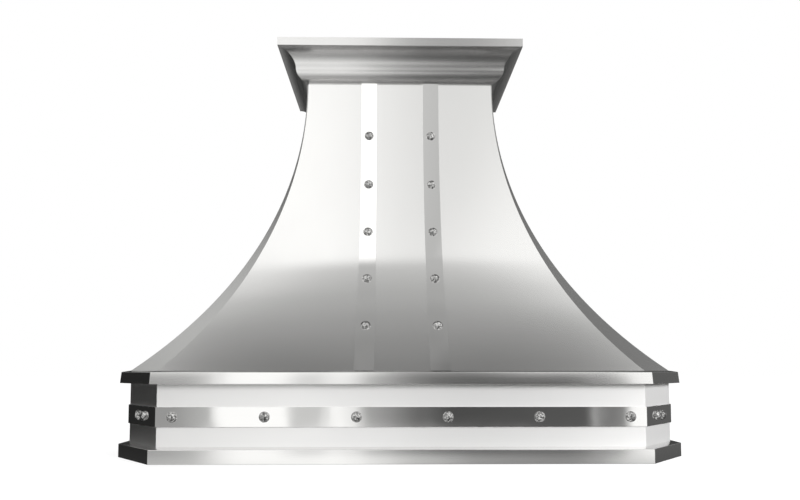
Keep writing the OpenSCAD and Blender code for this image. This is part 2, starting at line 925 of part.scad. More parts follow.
// Spring clips on the riser that grip the front edge of each filter
module filter_clips() {
    clip_w = 24;
    clip_t = 0.8;
    clip_bow = swing_gap - slip_gap;
    clip_z = filter_hinge_z + filter_nose * sin(filter_slope);
    clip_h = filter_t + filter_rail;
    section = [
        [riser_y, clip_z - clip_h / 2], [riser_y + clip_t, clip_z - clip_h / 2],
        [riser_y + clip_bow, clip_z], [riser_y + clip_t, clip_z + clip_h / 2],
        [riser_y, clip_z + clip_h / 2], [riser_y, clip_z + clip_h / 2 - clip_t],
        [riser_y + clip_bow - clip_t, clip_z], [riser_y, clip_z - clip_h / 2 + clip_t]
    ];
    color("gray")
        for (place = [-1, 0, 1], side = [-1, 1]) {
            x = place * filter_step + side * filter_w / 4;
            along_x(x - clip_w / 2, x + clip_w / 2)
                polygon(section);
        }
}

module grease_tray() {
    tray_x = bay_x - slip_gap;
    color("silver")
        difference() {
            block([-tray_x, tray_front, tray_z], [tray_x, tray_back, tray_z + tray_h]);
            block(
                [tray_t - tray_x, tray_front + tray_t, tray_z + tray_t],
                [tray_x - tray_t, tray_back - tray_t, tray_z + tray_h + overrun]
            );
        }
}

// Knobs, with the switches behind the shelf
module knob(side) {
    knob_z = shelf_z - slip_gap - knob_h;
    shaft_top = shelf_z + liner_t + switch_h / 2;
    grip_w = knob_d / 6;
    grip_h = knob_h / 3;
    x = side * knob_gap / 2;
    color("dimgray")
        translate([x, lamp_y, knob_z]) {
            difference() {
                cylinder(h = knob_h, d = knob_d);
                for (grip = [-1, 1])
                    block(
                        [grip > 0 ? grip_w / 2 : -knob_d, -knob_d, -overrun],
                        [grip > 0 ? knob_d : -grip_w / 2, knob_d, grip_h]
                    );
            }
            cylinder(h = shaft_top - knob_z, d = knob_shaft_d);
        }
}
module fan_knob() { knob(-1); }
module light_knob() { knob(1); }

module control_switches() {
    base = shelf_z + liner_t;
    color("dimgray")
        knob_places()
            difference() {
                block([-switch_w / 2, -switch_w / 2, base], [switch_w / 2, switch_w / 2, base + switch_h]);
                translate([0, 0, base - overrun])
                    cylinder(h = switch_h / 2 + overrun + slip_gap, d = knob_shaft_d + 2 * run_gap);
            }
}

// Lamps
module lamp_bezels() {
    color("silver")
        lamp_places()
            translate([0, 0, shelf_z - lamp_ring_h])
                difference() {
                    cylinder(h = lamp_ring_h, d = lamp_d);
                    translate([0, 0, -overrun])
                        cylinder(h = lamp_ring_h + 2 * overrun, d = lens_d);
                }
}

module lamp_lenses() {
    color("white")
        lamp_places()
            translate([0, 0, shelf_z - lamp_ring_h / 2])
                cylinder(h = lamp_ring_h / 2 + liner_t, d = lens_d);
}

module lamp_bodies() {
    rim_d = lamp_hole_d - 2 * slip_gap;
    color("gray")
        lamp_places()
            difference() {
                translate([0, 0, shelf_z])
                    cylinder(h = lamp_depth, d = rim_d);
                translate([0, 0, shelf_z - overrun])
                    cylinder(h = liner_t + overrun, d = lens_d);
            }
}

// Junction box on the liner, its lid, and the two internal cables
jbox_y = (box_front + box_back) / 2;
jbox_t = liner_t;

module junction_box() {
    low = [jbox_x - jbox_w / 2, jbox_y - jbox_w / 2, liner_top];
    inlet_d = 2 * loom_d;
    inlet_l = 2 * loom_d;
    color("gray") {
        difference() {
            block(low, low + [jbox_w, jbox_w, jbox_h]);
            block(
                low + [jbox_t, jbox_t, jbox_t],
                low + [jbox_w - jbox_t, jbox_w - jbox_t, jbox_h + overrun]
            );
        }
        translate([jbox_x, jbox_y + jbox_w / 2, liner_top + jbox_h / 2])
            rotate([-90, 0, 0])
                difference() {
                    cylinder(h = inlet_l, d = inlet_d);
                    cylinder(h = inlet_l + overrun, d = inlet_d - 2 * jbox_t);
                }
    }
}

module junction_lid() {
    low = [jbox_x - jbox_w / 2 - jbox_t, jbox_y - jbox_w / 2 - jbox_t, liner_top + jbox_h];
    color("silver")
        block(low, low + [jbox_w + 2 * jbox_t, jbox_w + 2 * jbox_t, jbox_t]);
}

// A round cable through a list of points, with ball-shaped turns
module cable(points) {
    for (i = [0:len(points) - 2]) {
        step = points[i + 1] - points[i];
        flat = norm([step[0], step[1]]);
        translate(points[i])
            rotate([0, atan2(flat, step[2]), atan2(step[1], step[0])])
                cylinder(h = norm(step), d = loom_d, $fn = 24);
    }
    for (i = [1:len(points) - 2])
        translate(points[i])
            sphere(d = loom_d, $fn = 24);
}

module wiring() {
    z = liner_top + jbox_h / 2;
    switch_top = shelf_z + liner_t + switch_h;
    fan_x = -knob_gap / 2;
    light_x = knob_gap / 2;
    front = jbox_y - jbox_w / 2;
    color("black") {
        cable([[jbox_x - jbox_w / 2, jbox_y, z], [box_w / 2, jbox_y, z]]);
        for (side = [0, 1]) {
            x = jbox_x + (side - 0.5) * 4 * loom_d;
            end_x = side > 0 ? fan_x : light_x;
            turn_z = z + side * 2 * loom_d - loom_d;
            cable([
                [x, front, turn_z], [x, lamp_y, turn_z],
                [end_x, lamp_y, turn_z], [end_x, lamp_y, switch_top]
            ]);
        }
    }
}

// Blower box
module blower_box() {
    color("lightgray")
        difference() {
            block([-box_w / 2, box_front, liner_top], [box_w / 2, box_back, box_top]);
            block(
                [blower_t - box_w / 2, box_front + blower_t, liner_top - overrun],
                [box_w / 2 - blower_t, box_back - blower_t, box_top - blower_t]
            );
            outlet_opening(box_top - blower_t - overrun, box_top + overrun);
        }
}

module outlet_opening(z0, z1) {
    block(
        [-blower_w / 2, blower_y + scroll_max - outlet_d, z0],
        [blower_w / 2, blower_y + scroll_max - blower_t, z1]
    );
}

// Blower housing: a scroll that grows evenly round the impeller and leaves upwards
tongue_angle = acos((scroll_max - outlet_d) / scroll_min);
scroll_steps = 36;
function scroll_r(share) = scroll_min + scroll_growth * share;
function scroll_points(inset) = [
    for (i = [0:scroll_steps])
        let (share = i / scroll_steps, a = tongue_angle + (360 - tongue_angle) * share)
        [blower_y + (scroll_r(share) - inset) * cos(a), shaft_z + (scroll_r(share) - inset) * sin(a)]
];

module scroll(inset, top) {
    polygon(concat(
        [[blower_y + scroll_max - outlet_d + (inset > 0 ? 0 : -blower_t), top]],
        scroll_points(inset),
        [[blower_y + scroll_max - inset, top]]
    ));
}

module blower_housing() {
    top = box_top - blower_t;
    color("gray")
        difference() {
            along_x(-blower_w / 2 - blower_t, blower_w / 2 + blower_t)
                scroll(0, top);
            along_x(-blower_w / 2, blower_w / 2)
                scroll(blower_t, top + overrun);
            translate([-blower_w / 2 - blower_t - overrun, blower_y, shaft_z])
                rotate([0, 90, 0])
                    cylinder(h = blower_w + 2 * blower_t + 2 * overrun, d = impeller_d - blade_d);
        }
}

hub_d = 3 * shaft_d;
hub_l = 2 * shaft_d;
disc_t = 2 * blower_t;
end_ring_t = 2 * blower_t;

module impeller() {
    blade_t = blower_t;
    blade_share = 0.8;
    blade_l = blade_d * blade_share;
    blade_turn = 30;
    mid_r = (impeller_d - blade_d) / 2;
    eye_d = impeller_d - 2 * blade_d;
    color("darkgray")
        translate([0, blower_y, shaft_z])
            rotate([0, 90, 0])
                difference() {
                    union() {
                        for (end = [-1, 1])
                            translate([0, 0, end * (impeller_w - end_ring_t) / 2 - end_ring_t / 2])
                                difference() {
                                    cylinder(h = end_ring_t, d = impeller_d);
                                    translate([0, 0, -overrun])
                                        cylinder(h = end_ring_t + 2 * overrun, d = eye_d);
                                }
                        translate([0, 0, -disc_t / 2])
                            cylinder(h = disc_t, d = impeller_d - blade_d);
                        translate([0, 0, -disc_t / 2])
                            cylinder(h = hub_l, d = hub_d);
                        for (i = [0:blades - 1])
                            rotate([0, 0, 360 * i / blades])
                                translate([mid_r, 0, 0])
                                    rotate([0, 0, blade_turn])
                                        cube([blade_l, blade_t, impeller_w - end_ring_t], center = true);
                    }
                    translate([0, 0, -hub_l])
                        cylinder(h = 3 * hub_l, d = shaft_d);
                }
}

motor_cap_share = 0.7;
motor_x1 = -disc_t / 2 - 2 * swing_gap;
motor_x0 = motor_x1 - motor_l;

module motor_shaft() {
    color("silver")
        translate([motor_x0 + motor_l / 2, blower_y, shaft_z])
            rotate([0, 90, 0])
                cylinder(h = hub_l - disc_t / 2 - motor_x0 - motor_l / 2, d = shaft_d);
}

module blower_motor() {
    cap_l = motor_l / 5;
    color("dimgray")
        translate([motor_x0, blower_y, shaft_z])
            rotate([0, 90, 0])
                difference() {
                    union() {
                        cylinder(h = motor_l - cap_l, d = motor_d);
                        cylinder(h = motor_l, d = motor_d * motor_cap_share);
                    }
                    translate([0, 0, motor_l / 2 - slip_gap])
                        cylinder(h = motor_l, d = shaft_d + 2 * run_gap);
                }
}

// Three arms carry the motor from the housing's side plate
module motor_bracket() {
    arm_w = 2 * shaft_d;
    plate_x = -blower_w / 2 - blower_t;
    bracket_t = 2 * blower_t;
    arm_r = impeller_d / 2 + scroll_gap / 2;
    color("gray") {
        translate([plate_x - bracket_t, blower_y, shaft_z])
            rotate([0, 90, 0]) {
                linear_extrude(bracket_t) {
                    circle(d = motor_d);
                    for (i = [0:2])
                        rotate(120 * i)
                            translate([0, -arm_w / 2])
                                square([arm_r, arm_w]);
                }
                translate([0, 0, bracket_t])
                    cylinder(h = motor_x0 - plate_x, d = motor_d * motor_cap_share);
            }
    }
}

// Exhaust duct: a square-to-round boot and a round pipe that slips into the collar
collar_neck_d = duct_d - 2 * collar_step;
pipe_d = collar_neck_d - 2 * duct_t - 2 * seat_gap;
collar_lap = 25;
collar_top = hood_h - collar_drop;
collar_z = collar_top - collar_l;
pipe_top = collar_z + collar_lap;
boot_base = 1;

module boot(grow, low, high) {
    hull() {
        translate([0, duct_y, box_top + low])
            linear_extrude(boot_base)
                square([blower_w + 2 * grow, outlet_d + 2 * grow], center = true);
        translate([0, duct_y, box_top + boot_h - boot_base + high])
            cylinder(h = boot_base, d = pipe_d - 2 * duct_t + 2 * grow);
    }
}

module exhaust_duct() {
    color("lightgray") {
        difference() {
            boot(duct_t, 0, 0);
            boot(0, -boot_base, boot_base);
        }
        translate([0, duct_y, box_top + boot_h])
            difference() {
                cylinder(h = pipe_top - box_top - boot_h, d = pipe_d);
                translate([0, 0, -overrun])
                    cylinder(h = pipe_top - box_top - boot_h + 2 * overrun, d = pipe_d - 2 * duct_t);
            }
    }
}

plate_z = hood_h - plate_drop;
bead_h = 3;
pin_lift = 5;
pin_z = pipe_top + bead_h + pin_lift;

module duct_collar() {
    flange_d = duct_d + 2 * box_lip;
    color("silver")
        difference() {
            translate([0, duct_y, 0]) {
                difference() {
                    union() {
                        translate([0, 0, collar_z])
                            cylinder(h = collar_l, d = collar_neck_d);
                        translate([0, 0, plate_z])
                            cylinder(h = collar_top - plate_z, d = duct_d);
                        translate([0, 0, plate_z])
                            cylinder(h = plate_t, d = flange_d);
                    }
                    translate([0, 0, collar_z - overrun])
                        cylinder(h = collar_l + 2 * overrun, d = collar_neck_d - 2 * duct_t);
                    translate([0, 0, plate_z + plate_t])
                        cylinder(h = collar_l, d = duct_d - 2 * duct_t);
                }
                translate([0, 0, pipe_top])
                    difference() {
                        cylinder(h = bead_h, d = collar_neck_d - duct_t);
                        translate([0, 0, -overrun])
                            cylinder(h = bead_h + 2 * overrun, d = collar_neck_d - 2 * duct_t - 2 * bead_h);
                    }
            }
            translate([0, duct_y + duct_d, pin_z])
                rotate([90, 0, 0])
                    cylinder(h = 2 * duct_d, d = damper_pin_d);
        }
}

module top_plate() {
    edge = outline(neck_w / 2, neck_d, neck_cut, sheet_t, inner_wall_y);
    inner = outline(neck_w / 2, neck_d, neck_cut, sheet_t + plate_t, inner_wall_y - plate_t);
    color("lightgray")
        difference() {
            union() {
                translate([0, 0, plate_z - plate_t])
                    linear_extrude(plate_t)
                        polygon(edge);
                translate([0, 0, plate_z - plate_t])
                    linear_extrude(angle_leg)
                        difference() {
                            polygon(edge);
                            polygon(inner);
                        }
            }
            translate([0, duct_y, plate_z - plate_t - overrun])
                cylinder(h = plate_t + 2 * overrun, d = duct_d + 2 * seat_gap);
        }
}

// Damper: two half-round flaps that hang on one pin and open upwards
knuckle_d = damper_pin_d + 4 * flap_t;
knuckle_l = 20;
flap_r = collar_neck_d / 2 - duct_t - 2 * slip_gap;

module damper_pin() {
    color("silver")
        translate([0, duct_y + duct_d / 2, pin_z])
            rotate([90, 0, 0])
                cylinder(h = duct_d, d = damper_pin_d);
}

module right_flap(share) {
    flap_z = -knuckle_d / 2;
    difference() {
        union() {
            intersection() {
                translate([0, 0, flap_z])
                    cylinder(h = flap_t, r = flap_r);
                block([knuckle_d / 2 + slip_gap, -duct_d, -duct_d], [duct_d, duct_d, duct_d]);
            }
            for (end = [-1, 1])
                translate([0, end * share * flap_r + knuckle_l / 2, 0])
                    rotate([90, 0, 0])
                        cylinder(h = knuckle_l, d = knuckle_d);
            for (end = [-1, 1])
                block(
                    [0, end * share * flap_r - knuckle_l / 2, flap_z],
                    [knuckle_d, end * share * flap_r + knuckle_l / 2, flap_z + flap_t]
                );
        }
        translate([0, duct_d, 0])
            rotate([90, 0, 0])
                cylinder(h = 2 * duct_d, d = damper_pin_d + 2 * run_gap);
    }
}

right_knuckle_share = 0.65;
left_knuckle_share = 0.3;

module right_damper_flap() {
    color("gainsboro")
        translate([0, duct_y, pin_z])
            right_flap(right_knuckle_share);
}

module left_damper_flap() {
    color("gainsboro")
        translate([0, duct_y, pin_z])
            mirror([1, 0, 0])
                right_flap(left_knuckle_share);
}

front_panel();
left_side_panel();
right_side_panel();
left_corner_panel();
right_corner_panel();
back_panel();
apron_front();
apron_left();
apron_right();
shoulder_band();
foot_band();
apron_strap_front();
apron_strap_left();
apron_strap_right();
left_strap();
right_strap();
strap_studs_set();
apron_studs_set();
crown_front();
crown_left();
crown_right();
base_frame();
shoulder_frame();
wall_rails();
top_plate();
liner_pan();
liner_rim();
lamp_shelf();
rim_screws();
filter_clips();
left_filter();
centre_filter();
right_filter();
left_baffles();
centre_baffles();
right_baffles();
left_filter_handle();
centre_filter_handle();
right_filter_handle();
grease_tray();
fan_knob();
light_knob();
control_switches();
lamp_bezels();
lamp_lenses();
lamp_bodies();
junction_box();
junction_lid();
wiring();
blower_box();
blower_housing();
impeller();
motor_shaft();
blower_motor();
motor_bracket();
exhaust_duct();
duct_collar();
damper_pin();
left_damper_flap();
right_damper_flap();
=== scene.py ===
import json
import math

import bmesh
import bpy
from mathutils import Matrix, Vector


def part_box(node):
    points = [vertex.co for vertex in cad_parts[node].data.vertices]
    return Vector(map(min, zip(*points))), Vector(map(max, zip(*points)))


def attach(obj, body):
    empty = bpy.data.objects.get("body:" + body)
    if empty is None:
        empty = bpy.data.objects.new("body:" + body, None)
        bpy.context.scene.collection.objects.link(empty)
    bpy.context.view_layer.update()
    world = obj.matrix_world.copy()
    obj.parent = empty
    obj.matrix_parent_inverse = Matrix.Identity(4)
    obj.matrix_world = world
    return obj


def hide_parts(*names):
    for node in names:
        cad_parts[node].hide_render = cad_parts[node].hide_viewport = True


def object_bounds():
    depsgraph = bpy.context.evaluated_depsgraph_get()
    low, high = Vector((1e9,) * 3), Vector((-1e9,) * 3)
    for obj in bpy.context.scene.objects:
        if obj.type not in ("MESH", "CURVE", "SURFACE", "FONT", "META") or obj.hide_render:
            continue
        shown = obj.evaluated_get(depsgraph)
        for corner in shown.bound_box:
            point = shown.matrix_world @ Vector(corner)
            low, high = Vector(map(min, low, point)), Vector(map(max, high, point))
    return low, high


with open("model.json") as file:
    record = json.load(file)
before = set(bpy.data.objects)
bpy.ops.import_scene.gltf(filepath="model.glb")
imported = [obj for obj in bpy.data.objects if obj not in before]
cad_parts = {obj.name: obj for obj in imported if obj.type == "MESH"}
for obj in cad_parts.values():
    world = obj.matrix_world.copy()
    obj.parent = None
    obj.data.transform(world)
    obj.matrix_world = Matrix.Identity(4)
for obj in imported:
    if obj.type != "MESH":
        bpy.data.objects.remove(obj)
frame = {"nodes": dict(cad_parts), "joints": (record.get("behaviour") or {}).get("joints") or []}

cad_low, cad_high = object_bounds()
scene = bpy.context.scene
scene.view_settings.view_transform = "Standard"


# Camera: it stands low in front of the hood, a little left of its middle, and looks slightly up.
# The shift keeps the hood's upright edges upright, as the photograph has them.
camera = bpy.data.objects.new("camera", bpy.data.cameras.new("camera"))
scene.collection.objects.link(camera)
camera.data.sensor_width = 36
camera.data.lens = 26.63
camera.data.shift_x = 0.003
camera.data.shift_y = 0.108
camera.location = (-0.0267, -1.4932, 0.1901)
look_up, look_right = 3.12, 0.8
camera.rotation_euler = (math.radians(90 + look_up), 0, math.radians(-look_right))
scene.camera = camera


# Studio: a white room that the steel mirrors. Broad white panels hang left and right of the
# camera with dark gaps between them, the ceiling is grey, and the ground is dark. Its lamps light
# the matt pieces only, and white paper lies under the hood.
room_blue = 0.985


def put(tree, kind, values=None, **settings):
    """Add a node, set its settings, and set or link its inputs."""
    node = tree.nodes.new(kind)
    for key, value in settings.items():
        setattr(node, key, value)
    for key, value in (values or {}).items():
        if isinstance(value, bpy.types.NodeSocket):
            tree.links.new(value, node.inputs[key])
        else:
            node.inputs[key].default_value = value
    return node


def angle_ramp(tree, angle, tones):
    """A grey that changes softly with an angle, from pairs of degrees and tone."""
    low, high = tones[0][0], tones[-1][0]
    span = put(tree, "ShaderNodeMapRange", {"Value": angle, "From Min": low, "From Max": high})
    ramp = put(tree, "ShaderNodeValToRGB", {"Fac": span.outputs["Result"]})
    ramp.color_ramp.interpolation = "EASE"
    stops = ramp.color_ramp.elements
    while len(stops) < len(tones):
        stops.new(0.5)
    for stop, (degrees, _) in zip(stops, tones):
        stop.position = (degrees - low) / (high - low)
    for stop, (_, tone) in zip(stops, tones):
        stop.color = (tone, tone, tone * room_blue, 1)
    return ramp.outputs["Color"]


def blend_tones(tree, share, below, above):
    """A mix of two colours."""
    return put(tree, "ShaderNodeMix", {"Factor": share, 6: below, 7: above},
               data_type="RGBA").outputs[2]


world = bpy.data.worlds.new("studio")
world.use_nodes = True
scene.world = world
world.cycles_visibility.diffuse = False
room = world.node_tree
room.nodes.clear()
towards = put(room, "ShaderNodeSeparateXYZ", {
    "Vector": put(room, "ShaderNodeTexCoord").outputs["Generated"]})
forwards = put(room, "ShaderNodeMath", {0: towards.outputs["Y"], 1: -1.0}, operation="MULTIPLY")
turn = put(room, "ShaderNodeMath", {0: towards.outputs["X"], 1: forwards.outputs["Value"]},
           operation="ARCTAN2")
rise = put(room, "ShaderNodeMath", {0: towards.outputs["Z"]}, operation="ARCSINE")
azimuth = put(room, "ShaderNodeMath", {0: turn.outputs[0]}, operation="DEGREES").outputs[0]
elevation = put(room, "ShaderNodeMath", {0: rise.outputs[0]}, operation="DEGREES").outputs[0]
aside = put(room, "ShaderNodeMath", {0: azimuth}, operation="ABSOLUTE").outputs[0]
round_share = angle_ramp(room, aside, [(0, 0), (50, 0), (60, 1), (180, 1)])
edge_curve = angle_ramp(room, azimuth, [
    (-180, 0.33), (-60, 1.0), (-33, 1.0), (-18, 0.33), (3, 0.33), (10, 0.08), (22, 0.10),
    (31, 0.42), (46, 0.85), (75, 0.90), (180, 0.33)])
edge_drop = put(room, "ShaderNodeMapRange", {"Value": edge_curve, "To Min": -2, "To Max": 4})
above = put(room, "ShaderNodeMath", {0: elevation, 1: edge_drop.outputs["Result"]},
            operation="SUBTRACT").outputs[0]

# In front and low: a grey wall, a white panel with a gap in it, a dark doorway with a pale frame,
# and a second white panel. In front and high: the same panels, with a grey gap between them.
low_front = angle_ramp(room, azimuth, [
    (-60, 0.7), (-40, 0.35), (-20, 0.35), (-17, 0.5), (-16, 1.15), (-10, 1.15), (-9, 0.65),
    (-6.5, 0.65), (-5.5, 1.1), (-3.5, 0.95), (-2, 0.4), (3, 0.15), (6.5, 0.08), (18.5, 0.1),
    (19.3, 0.4), (20, 0.2), (21.7, 0.25), (22.5, 1.15), (60, 1.0)])
# At the sides and behind: open dark doorways to the left and to the right, and pale walls.
low_round = angle_ramp(room, azimuth, [
    (-180, 0.45), (-174, 0.4), (-169, 0.05), (-138, 0.02), (-86, 0.02), (-78, 0.5), (-68, 0.9),
    (-60, 0.7), (60, 1.0), (75, 0.6), (104, 0.3), (110, 0.11), (120, 0.12), (128, 0.35),
    (144, 0.3), (150, 0.05), (164, 0.05), (170, 0.4), (180, 0.45)])
high_front = angle_ramp(room, azimuth, [
    (-60, 0.9), (-42, 0.65), (-35, 0.95), (-27, 1.2), (-1.5, 1.2), (0.5, 0.6), (8, 0.5),
    (11, 0.6), (14, 1.0), (18, 1.15), (60, 1.0)])
high_round = angle_ramp(room, azimuth, [
    (-180, 0.7), (-174, 0.6), (-168, 0.1), (-154, 0.1), (-146, 0.55), (-130, 0.55),
    (-122, 0.05), (-106, 0.05), (-98, 0.5), (-86, 1.05), (-60, 0.9), (60, 1.0), (80, 0.9),
    (100, 0.35), (108, 0.08), (122, 0.1), (130, 0.25), (150, 0.1), (164, 0.1), (172, 0.6),
    (180, 0.7)])
# On the ground: pale to the left of the camera, darker to the right, and dark in the doorways.
ground = angle_ramp(room, azimuth, [
    (-180, 0.5), (-172, 0.1), (-138, 0.03), (-84, 0.03), (-70, 0.5), (-18, 0.5), (-15.5, 1.2),
    (-3, 1.3), (0, 1.05), (4, 0.75), (9, 0.48), (18, 0.36), (24, 0.95), (60, 0.7), (108, 0.1),
    (170, 0.1), (180, 0.5)])
far_ground = angle_ramp(room, azimuth, [
    (-180, 0.5), (-172, 0.2), (-138, 0.03), (-84, 0.03), (-60, 0.4), (-18, 0.75), (-4, 0.75),
    (2, 0.17), (12, 0.1), (60, 0.3), (110, 0.1), (170, 0.1), (180, 0.5)])
bare_ceiling = angle_ramp(room, above, [
    (60, 0.55), (63, 0.48), (70, 0.4), (75, 0.33), (80, 0.28), (90, 0.24)])
ceiling = blend_tones(room, angle_ramp(room, aside, [(0, 0), (22, 0), (60, 0.48), (180, 0.48)]),
                      bare_ceiling, (0.02, 0.02, 0.02, 1))
low_walls = blend_tones(room, round_share, low_front, low_round)
high_walls = blend_tones(room, round_share, high_front, high_round)
walls = blend_tones(room, angle_ramp(room, elevation, [(-90, 0), (13, 0), (23, 1), (90, 1)]),
                    low_walls, high_walls)
closed = blend_tones(room, angle_ramp(room, above, [(-90, 0), (60.6, 0), (63, 1), (90, 1)]),
                     walls, ceiling)
underfoot = angle_ramp(room, aside, [(0, 0.02), (95, 0.02), (135, 0.45), (180, 0.50)])
deep = blend_tones(room, angle_ramp(room, elevation, [
    (-90, 0), (-75, 0.05), (-57, 0.50), (-30, 1), (90, 1)]), underfoot, far_ground)
below = blend_tones(room, angle_ramp(room, elevation, [(-90, 0), (-28, 0), (-12, 1), (90, 1)]),
                    deep, ground)
dome = blend_tones(room, angle_ramp(room, elevation, [(-90, 0), (-9.5, 0), (-4.5, 1), (90, 1)]),
                   below, closed)
light_path = put(room, "ShaderNodeLightPath")
white_rays = put(room, "ShaderNodeMath", {0: light_path.outputs["Is Camera Ray"],
                                          1: light_path.outputs["Is Transmission Ray"]},
                 operation="MAXIMUM")
backdrop = put(room, "ShaderNodeBackground", {"Color": (1, 1, 1, 1), "Strength": 1.0})
studio = put(room, "ShaderNodeBackground", {"Color": dome, "Strength": 1.0})
chosen = put(room, "ShaderNodeMixShader", {"Fac": white_rays.outputs[0], 1: studio.outputs[0],
                                           2: backdrop.outputs[0]})
put(room, "ShaderNodeOutputWorld", {"Surface": chosen.outputs[0]})

# The paper shows a soft shadow close to the hood and turns pure white further out.
floor_reach = 12.0
shadow_r, white_r = 0.7, 1.7
shadow_glow, paper_glow = 0.84, 1.06
floor_mesh = bpy.data.meshes.new("studio_floor")
floor_mesh.from_pydata([(-floor_reach, -floor_reach, 0), (floor_reach, -floor_reach, 0),
                        (floor_reach, floor_reach, 0), (-floor_reach, floor_reach, 0)],
                       [], [(0, 1, 2, 3)])
floor = bpy.data.objects.new("studio_floor", floor_mesh)
scene.collection.objects.link(floor)
floor.visible_glossy = False
floor.visible_diffuse = False
paper = bpy.data.materials.new("white_paper")
paper.use_nodes = True
tree = paper.node_tree
tree.nodes.clear()
matt = put(tree, "ShaderNodeBsdfDiffuse", {"Color": (0.9, 0.9, 0.9, 1)})
glow = put(tree, "ShaderNodeEmission", {"Color": (1, 1, 1, 1), "Strength": paper_glow})
path = put(tree, "ShaderNodeLightPath")
spot = put(tree, "ShaderNodeVectorMath",
           {0: put(tree, "ShaderNodeTexCoord").outputs["Object"]}, operation="LENGTH")
far = put(tree, "ShaderNodeMapRange", {
    "Value": spot.outputs["Value"], "From Min": shadow_r, "From Max": white_r,
    "To Min": shadow_glow, "To Max": 1.0})
keep = put(tree, "ShaderNodeMath", {0: path.outputs["Is Camera Ray"], 1: far.outputs["Result"]},
           operation="MULTIPLY")
mixed = put(tree, "ShaderNodeMixShader", {"Fac": keep.outputs[0], 1: matt.outputs[0],
                                          2: glow.outputs[0]})
from_below = put(tree, "ShaderNodeMixShader", {
    "Fac": put(tree, "ShaderNodeNewGeometry").outputs["Backfacing"], 1: mixed.outputs[0],
    2: put(tree, "ShaderNodeBsdfTransparent").outputs[0]})
put(tree, "ShaderNodeOutputMaterial", {"Surface": from_below.outputs[0]})
floor_mesh.materials.append(paper)


def soft_lamp(name, place, aim, size, power):
    """A square lamp that lights matt surfaces but leaves no picture of itself in the steel."""
    lamp = bpy.data.objects.new(name, bpy.data.lights.new(name, "AREA"))
    lamp.data.size = size
    lamp.data.energy = power
    lamp.location = place
    lamp.rotation_euler = (Vector(aim) - Vector(place)).to_track_quat("-Z", "Y").to_euler()
    lamp.visible_glossy = False
    scene.collection.objects.link(lamp)


hood_foot, hood_middle = (0, 0, 0.2), (0, 0, 0.4)
soft_lamp("key_lamp", (2.1, -2.5, 1.0), hood_foot, 1.0, 210)
soft_lamp("rear_lamp", (1.2, 2.8, 2.0), hood_middle, 1.6, 110)
soft_lamp("left_lamp", (-2.2, 2.4, 1.8), hood_middle, 1.6, 110)
soft_lamp("top_lamp", (0.6, 0.6, 3.4), hood_middle, 1.6, 70)


# Inner frames and wall rails: welded rings of steel angle and two flat bars that carry the outer
# sheets. They are mild steel with a hot zinc coat, whose spangles show as dull grey patches.
spangle_scale, stain_scale, stain_share = 90.0, 7.0, 0.35
coat_metallic = 0.6


def dress(material, *names):
    """Give CAD nodes that keep their own shape a material."""
    for name in names:
        mesh = frame["nodes"][name].data
        mesh.materials.clear()
        mesh.materials.append(material)


def effect(name, inputs, outputs):
    """An empty group of shader nodes with named sockets, and its two ends."""
    group = bpy.data.node_groups.new(name, "ShaderNodeTree")
    for key, value in inputs.items():
        kind = ("NodeSocketVector" if value is None else
                "NodeSocketColor" if isinstance(value, tuple) else "NodeSocketFloat")
        made = group.interface.new_socket(key, in_out="INPUT", socket_type=kind)
        if value is not None:
            made.default_value = value
    for key, kind in outputs.items():
        group.interface.new_socket(key, in_out="OUTPUT", socket_type="NodeSocket" + kind)
    return group, group.nodes.new("NodeGroupInput"), group.nodes.new("NodeGroupOutput")


def grey(tone, warmth=0.0):
    """A grey colour that leans to red by its warmth."""
    return (tone * (1 + warmth), tone, tone * (1 - warmth), 1)


def metal(name, tone, rough, metallic=1.0):
    """A material with one plain shader, and that shader's tree."""
    material = bpy.data.materials.new(name)
    material.use_nodes = True
    shader = material.node_tree.nodes["Principled BSDF"]
    shader.inputs["Base Color"].default_value = tone
    shader.inputs["Roughness"].default_value = rough
    shader.inputs["Metallic"].default_value = metallic
    return material, material.node_tree, shader


def place_on(tree, scale=(1, 1, 1)):
    """The object's own coordinates in metres, stretched for a pattern."""
    own = put(tree, "ShaderNodeTexCoord")
    return put(tree, "ShaderNodeMapping", {
        "Vector": own.outputs["Object"], "Scale": scale}).outputs["Vector"]


spangle_group, given, result = effect(
    "zinc_spangle", {"Vector": None, "Light": grey(0.6), "Dark": grey(0.4), "Shine": 0.3,
                     "Dullness": 0.5}, {"Color": "Color", "Roughness": "Float"})
crystals = put(spangle_group, "ShaderNodeTexVoronoi", {
    "Vector": given.outputs["Vector"], "Scale": spangle_scale})
stain = put(spangle_group, "ShaderNodeTexNoise", {
    "Vector": given.outputs["Vector"], "Scale": stain_scale, "Detail": 4.0})
blend = put(spangle_group, "ShaderNodeMix", {
    "Factor": stain_share, 2: crystals.outputs["Color"], 3: stain.outputs["Fac"]})
tint = blend_tones(spangle_group, blend.outputs[0], given.outputs["Dark"], given.outputs["Light"])
dull = put(spangle_group, "ShaderNodeMapRange", {
    "Value": blend.outputs[0], "To Min": given.outputs["Shine"],
    "To Max": given.outputs["Dullness"]})
spangle_group.links.new(tint, result.inputs["Color"])
spangle_group.links.new(dull.outputs["Result"], result.inputs["Roughness"])


def zinc(name, light, dark, shine, dullness):
    """Steel with a zinc coat: the tones of its light and dark spangles, and their roughness."""
    material, tree, shader = metal(name, grey(light), shine, coat_metallic)
    coat = put(tree, "ShaderNodeGroup", {
        "Vector": place_on(tree), "Light": grey(light), "Dark": grey(dark), "Shine": shine,
        "Dullness": dullness}, node_tree=spangle_group)
    tree.links.new(coat.outputs["Color"], shader.inputs["Base Color"])
    tree.links.new(coat.outputs["Roughness"], shader.inputs["Roughness"])
    return material


dress(zinc("frame_zinc", 0.58, 0.40, 0.38, 0.56), "base_frame", "shoulder_frame", "wall_rails",
      "motor_bracket")


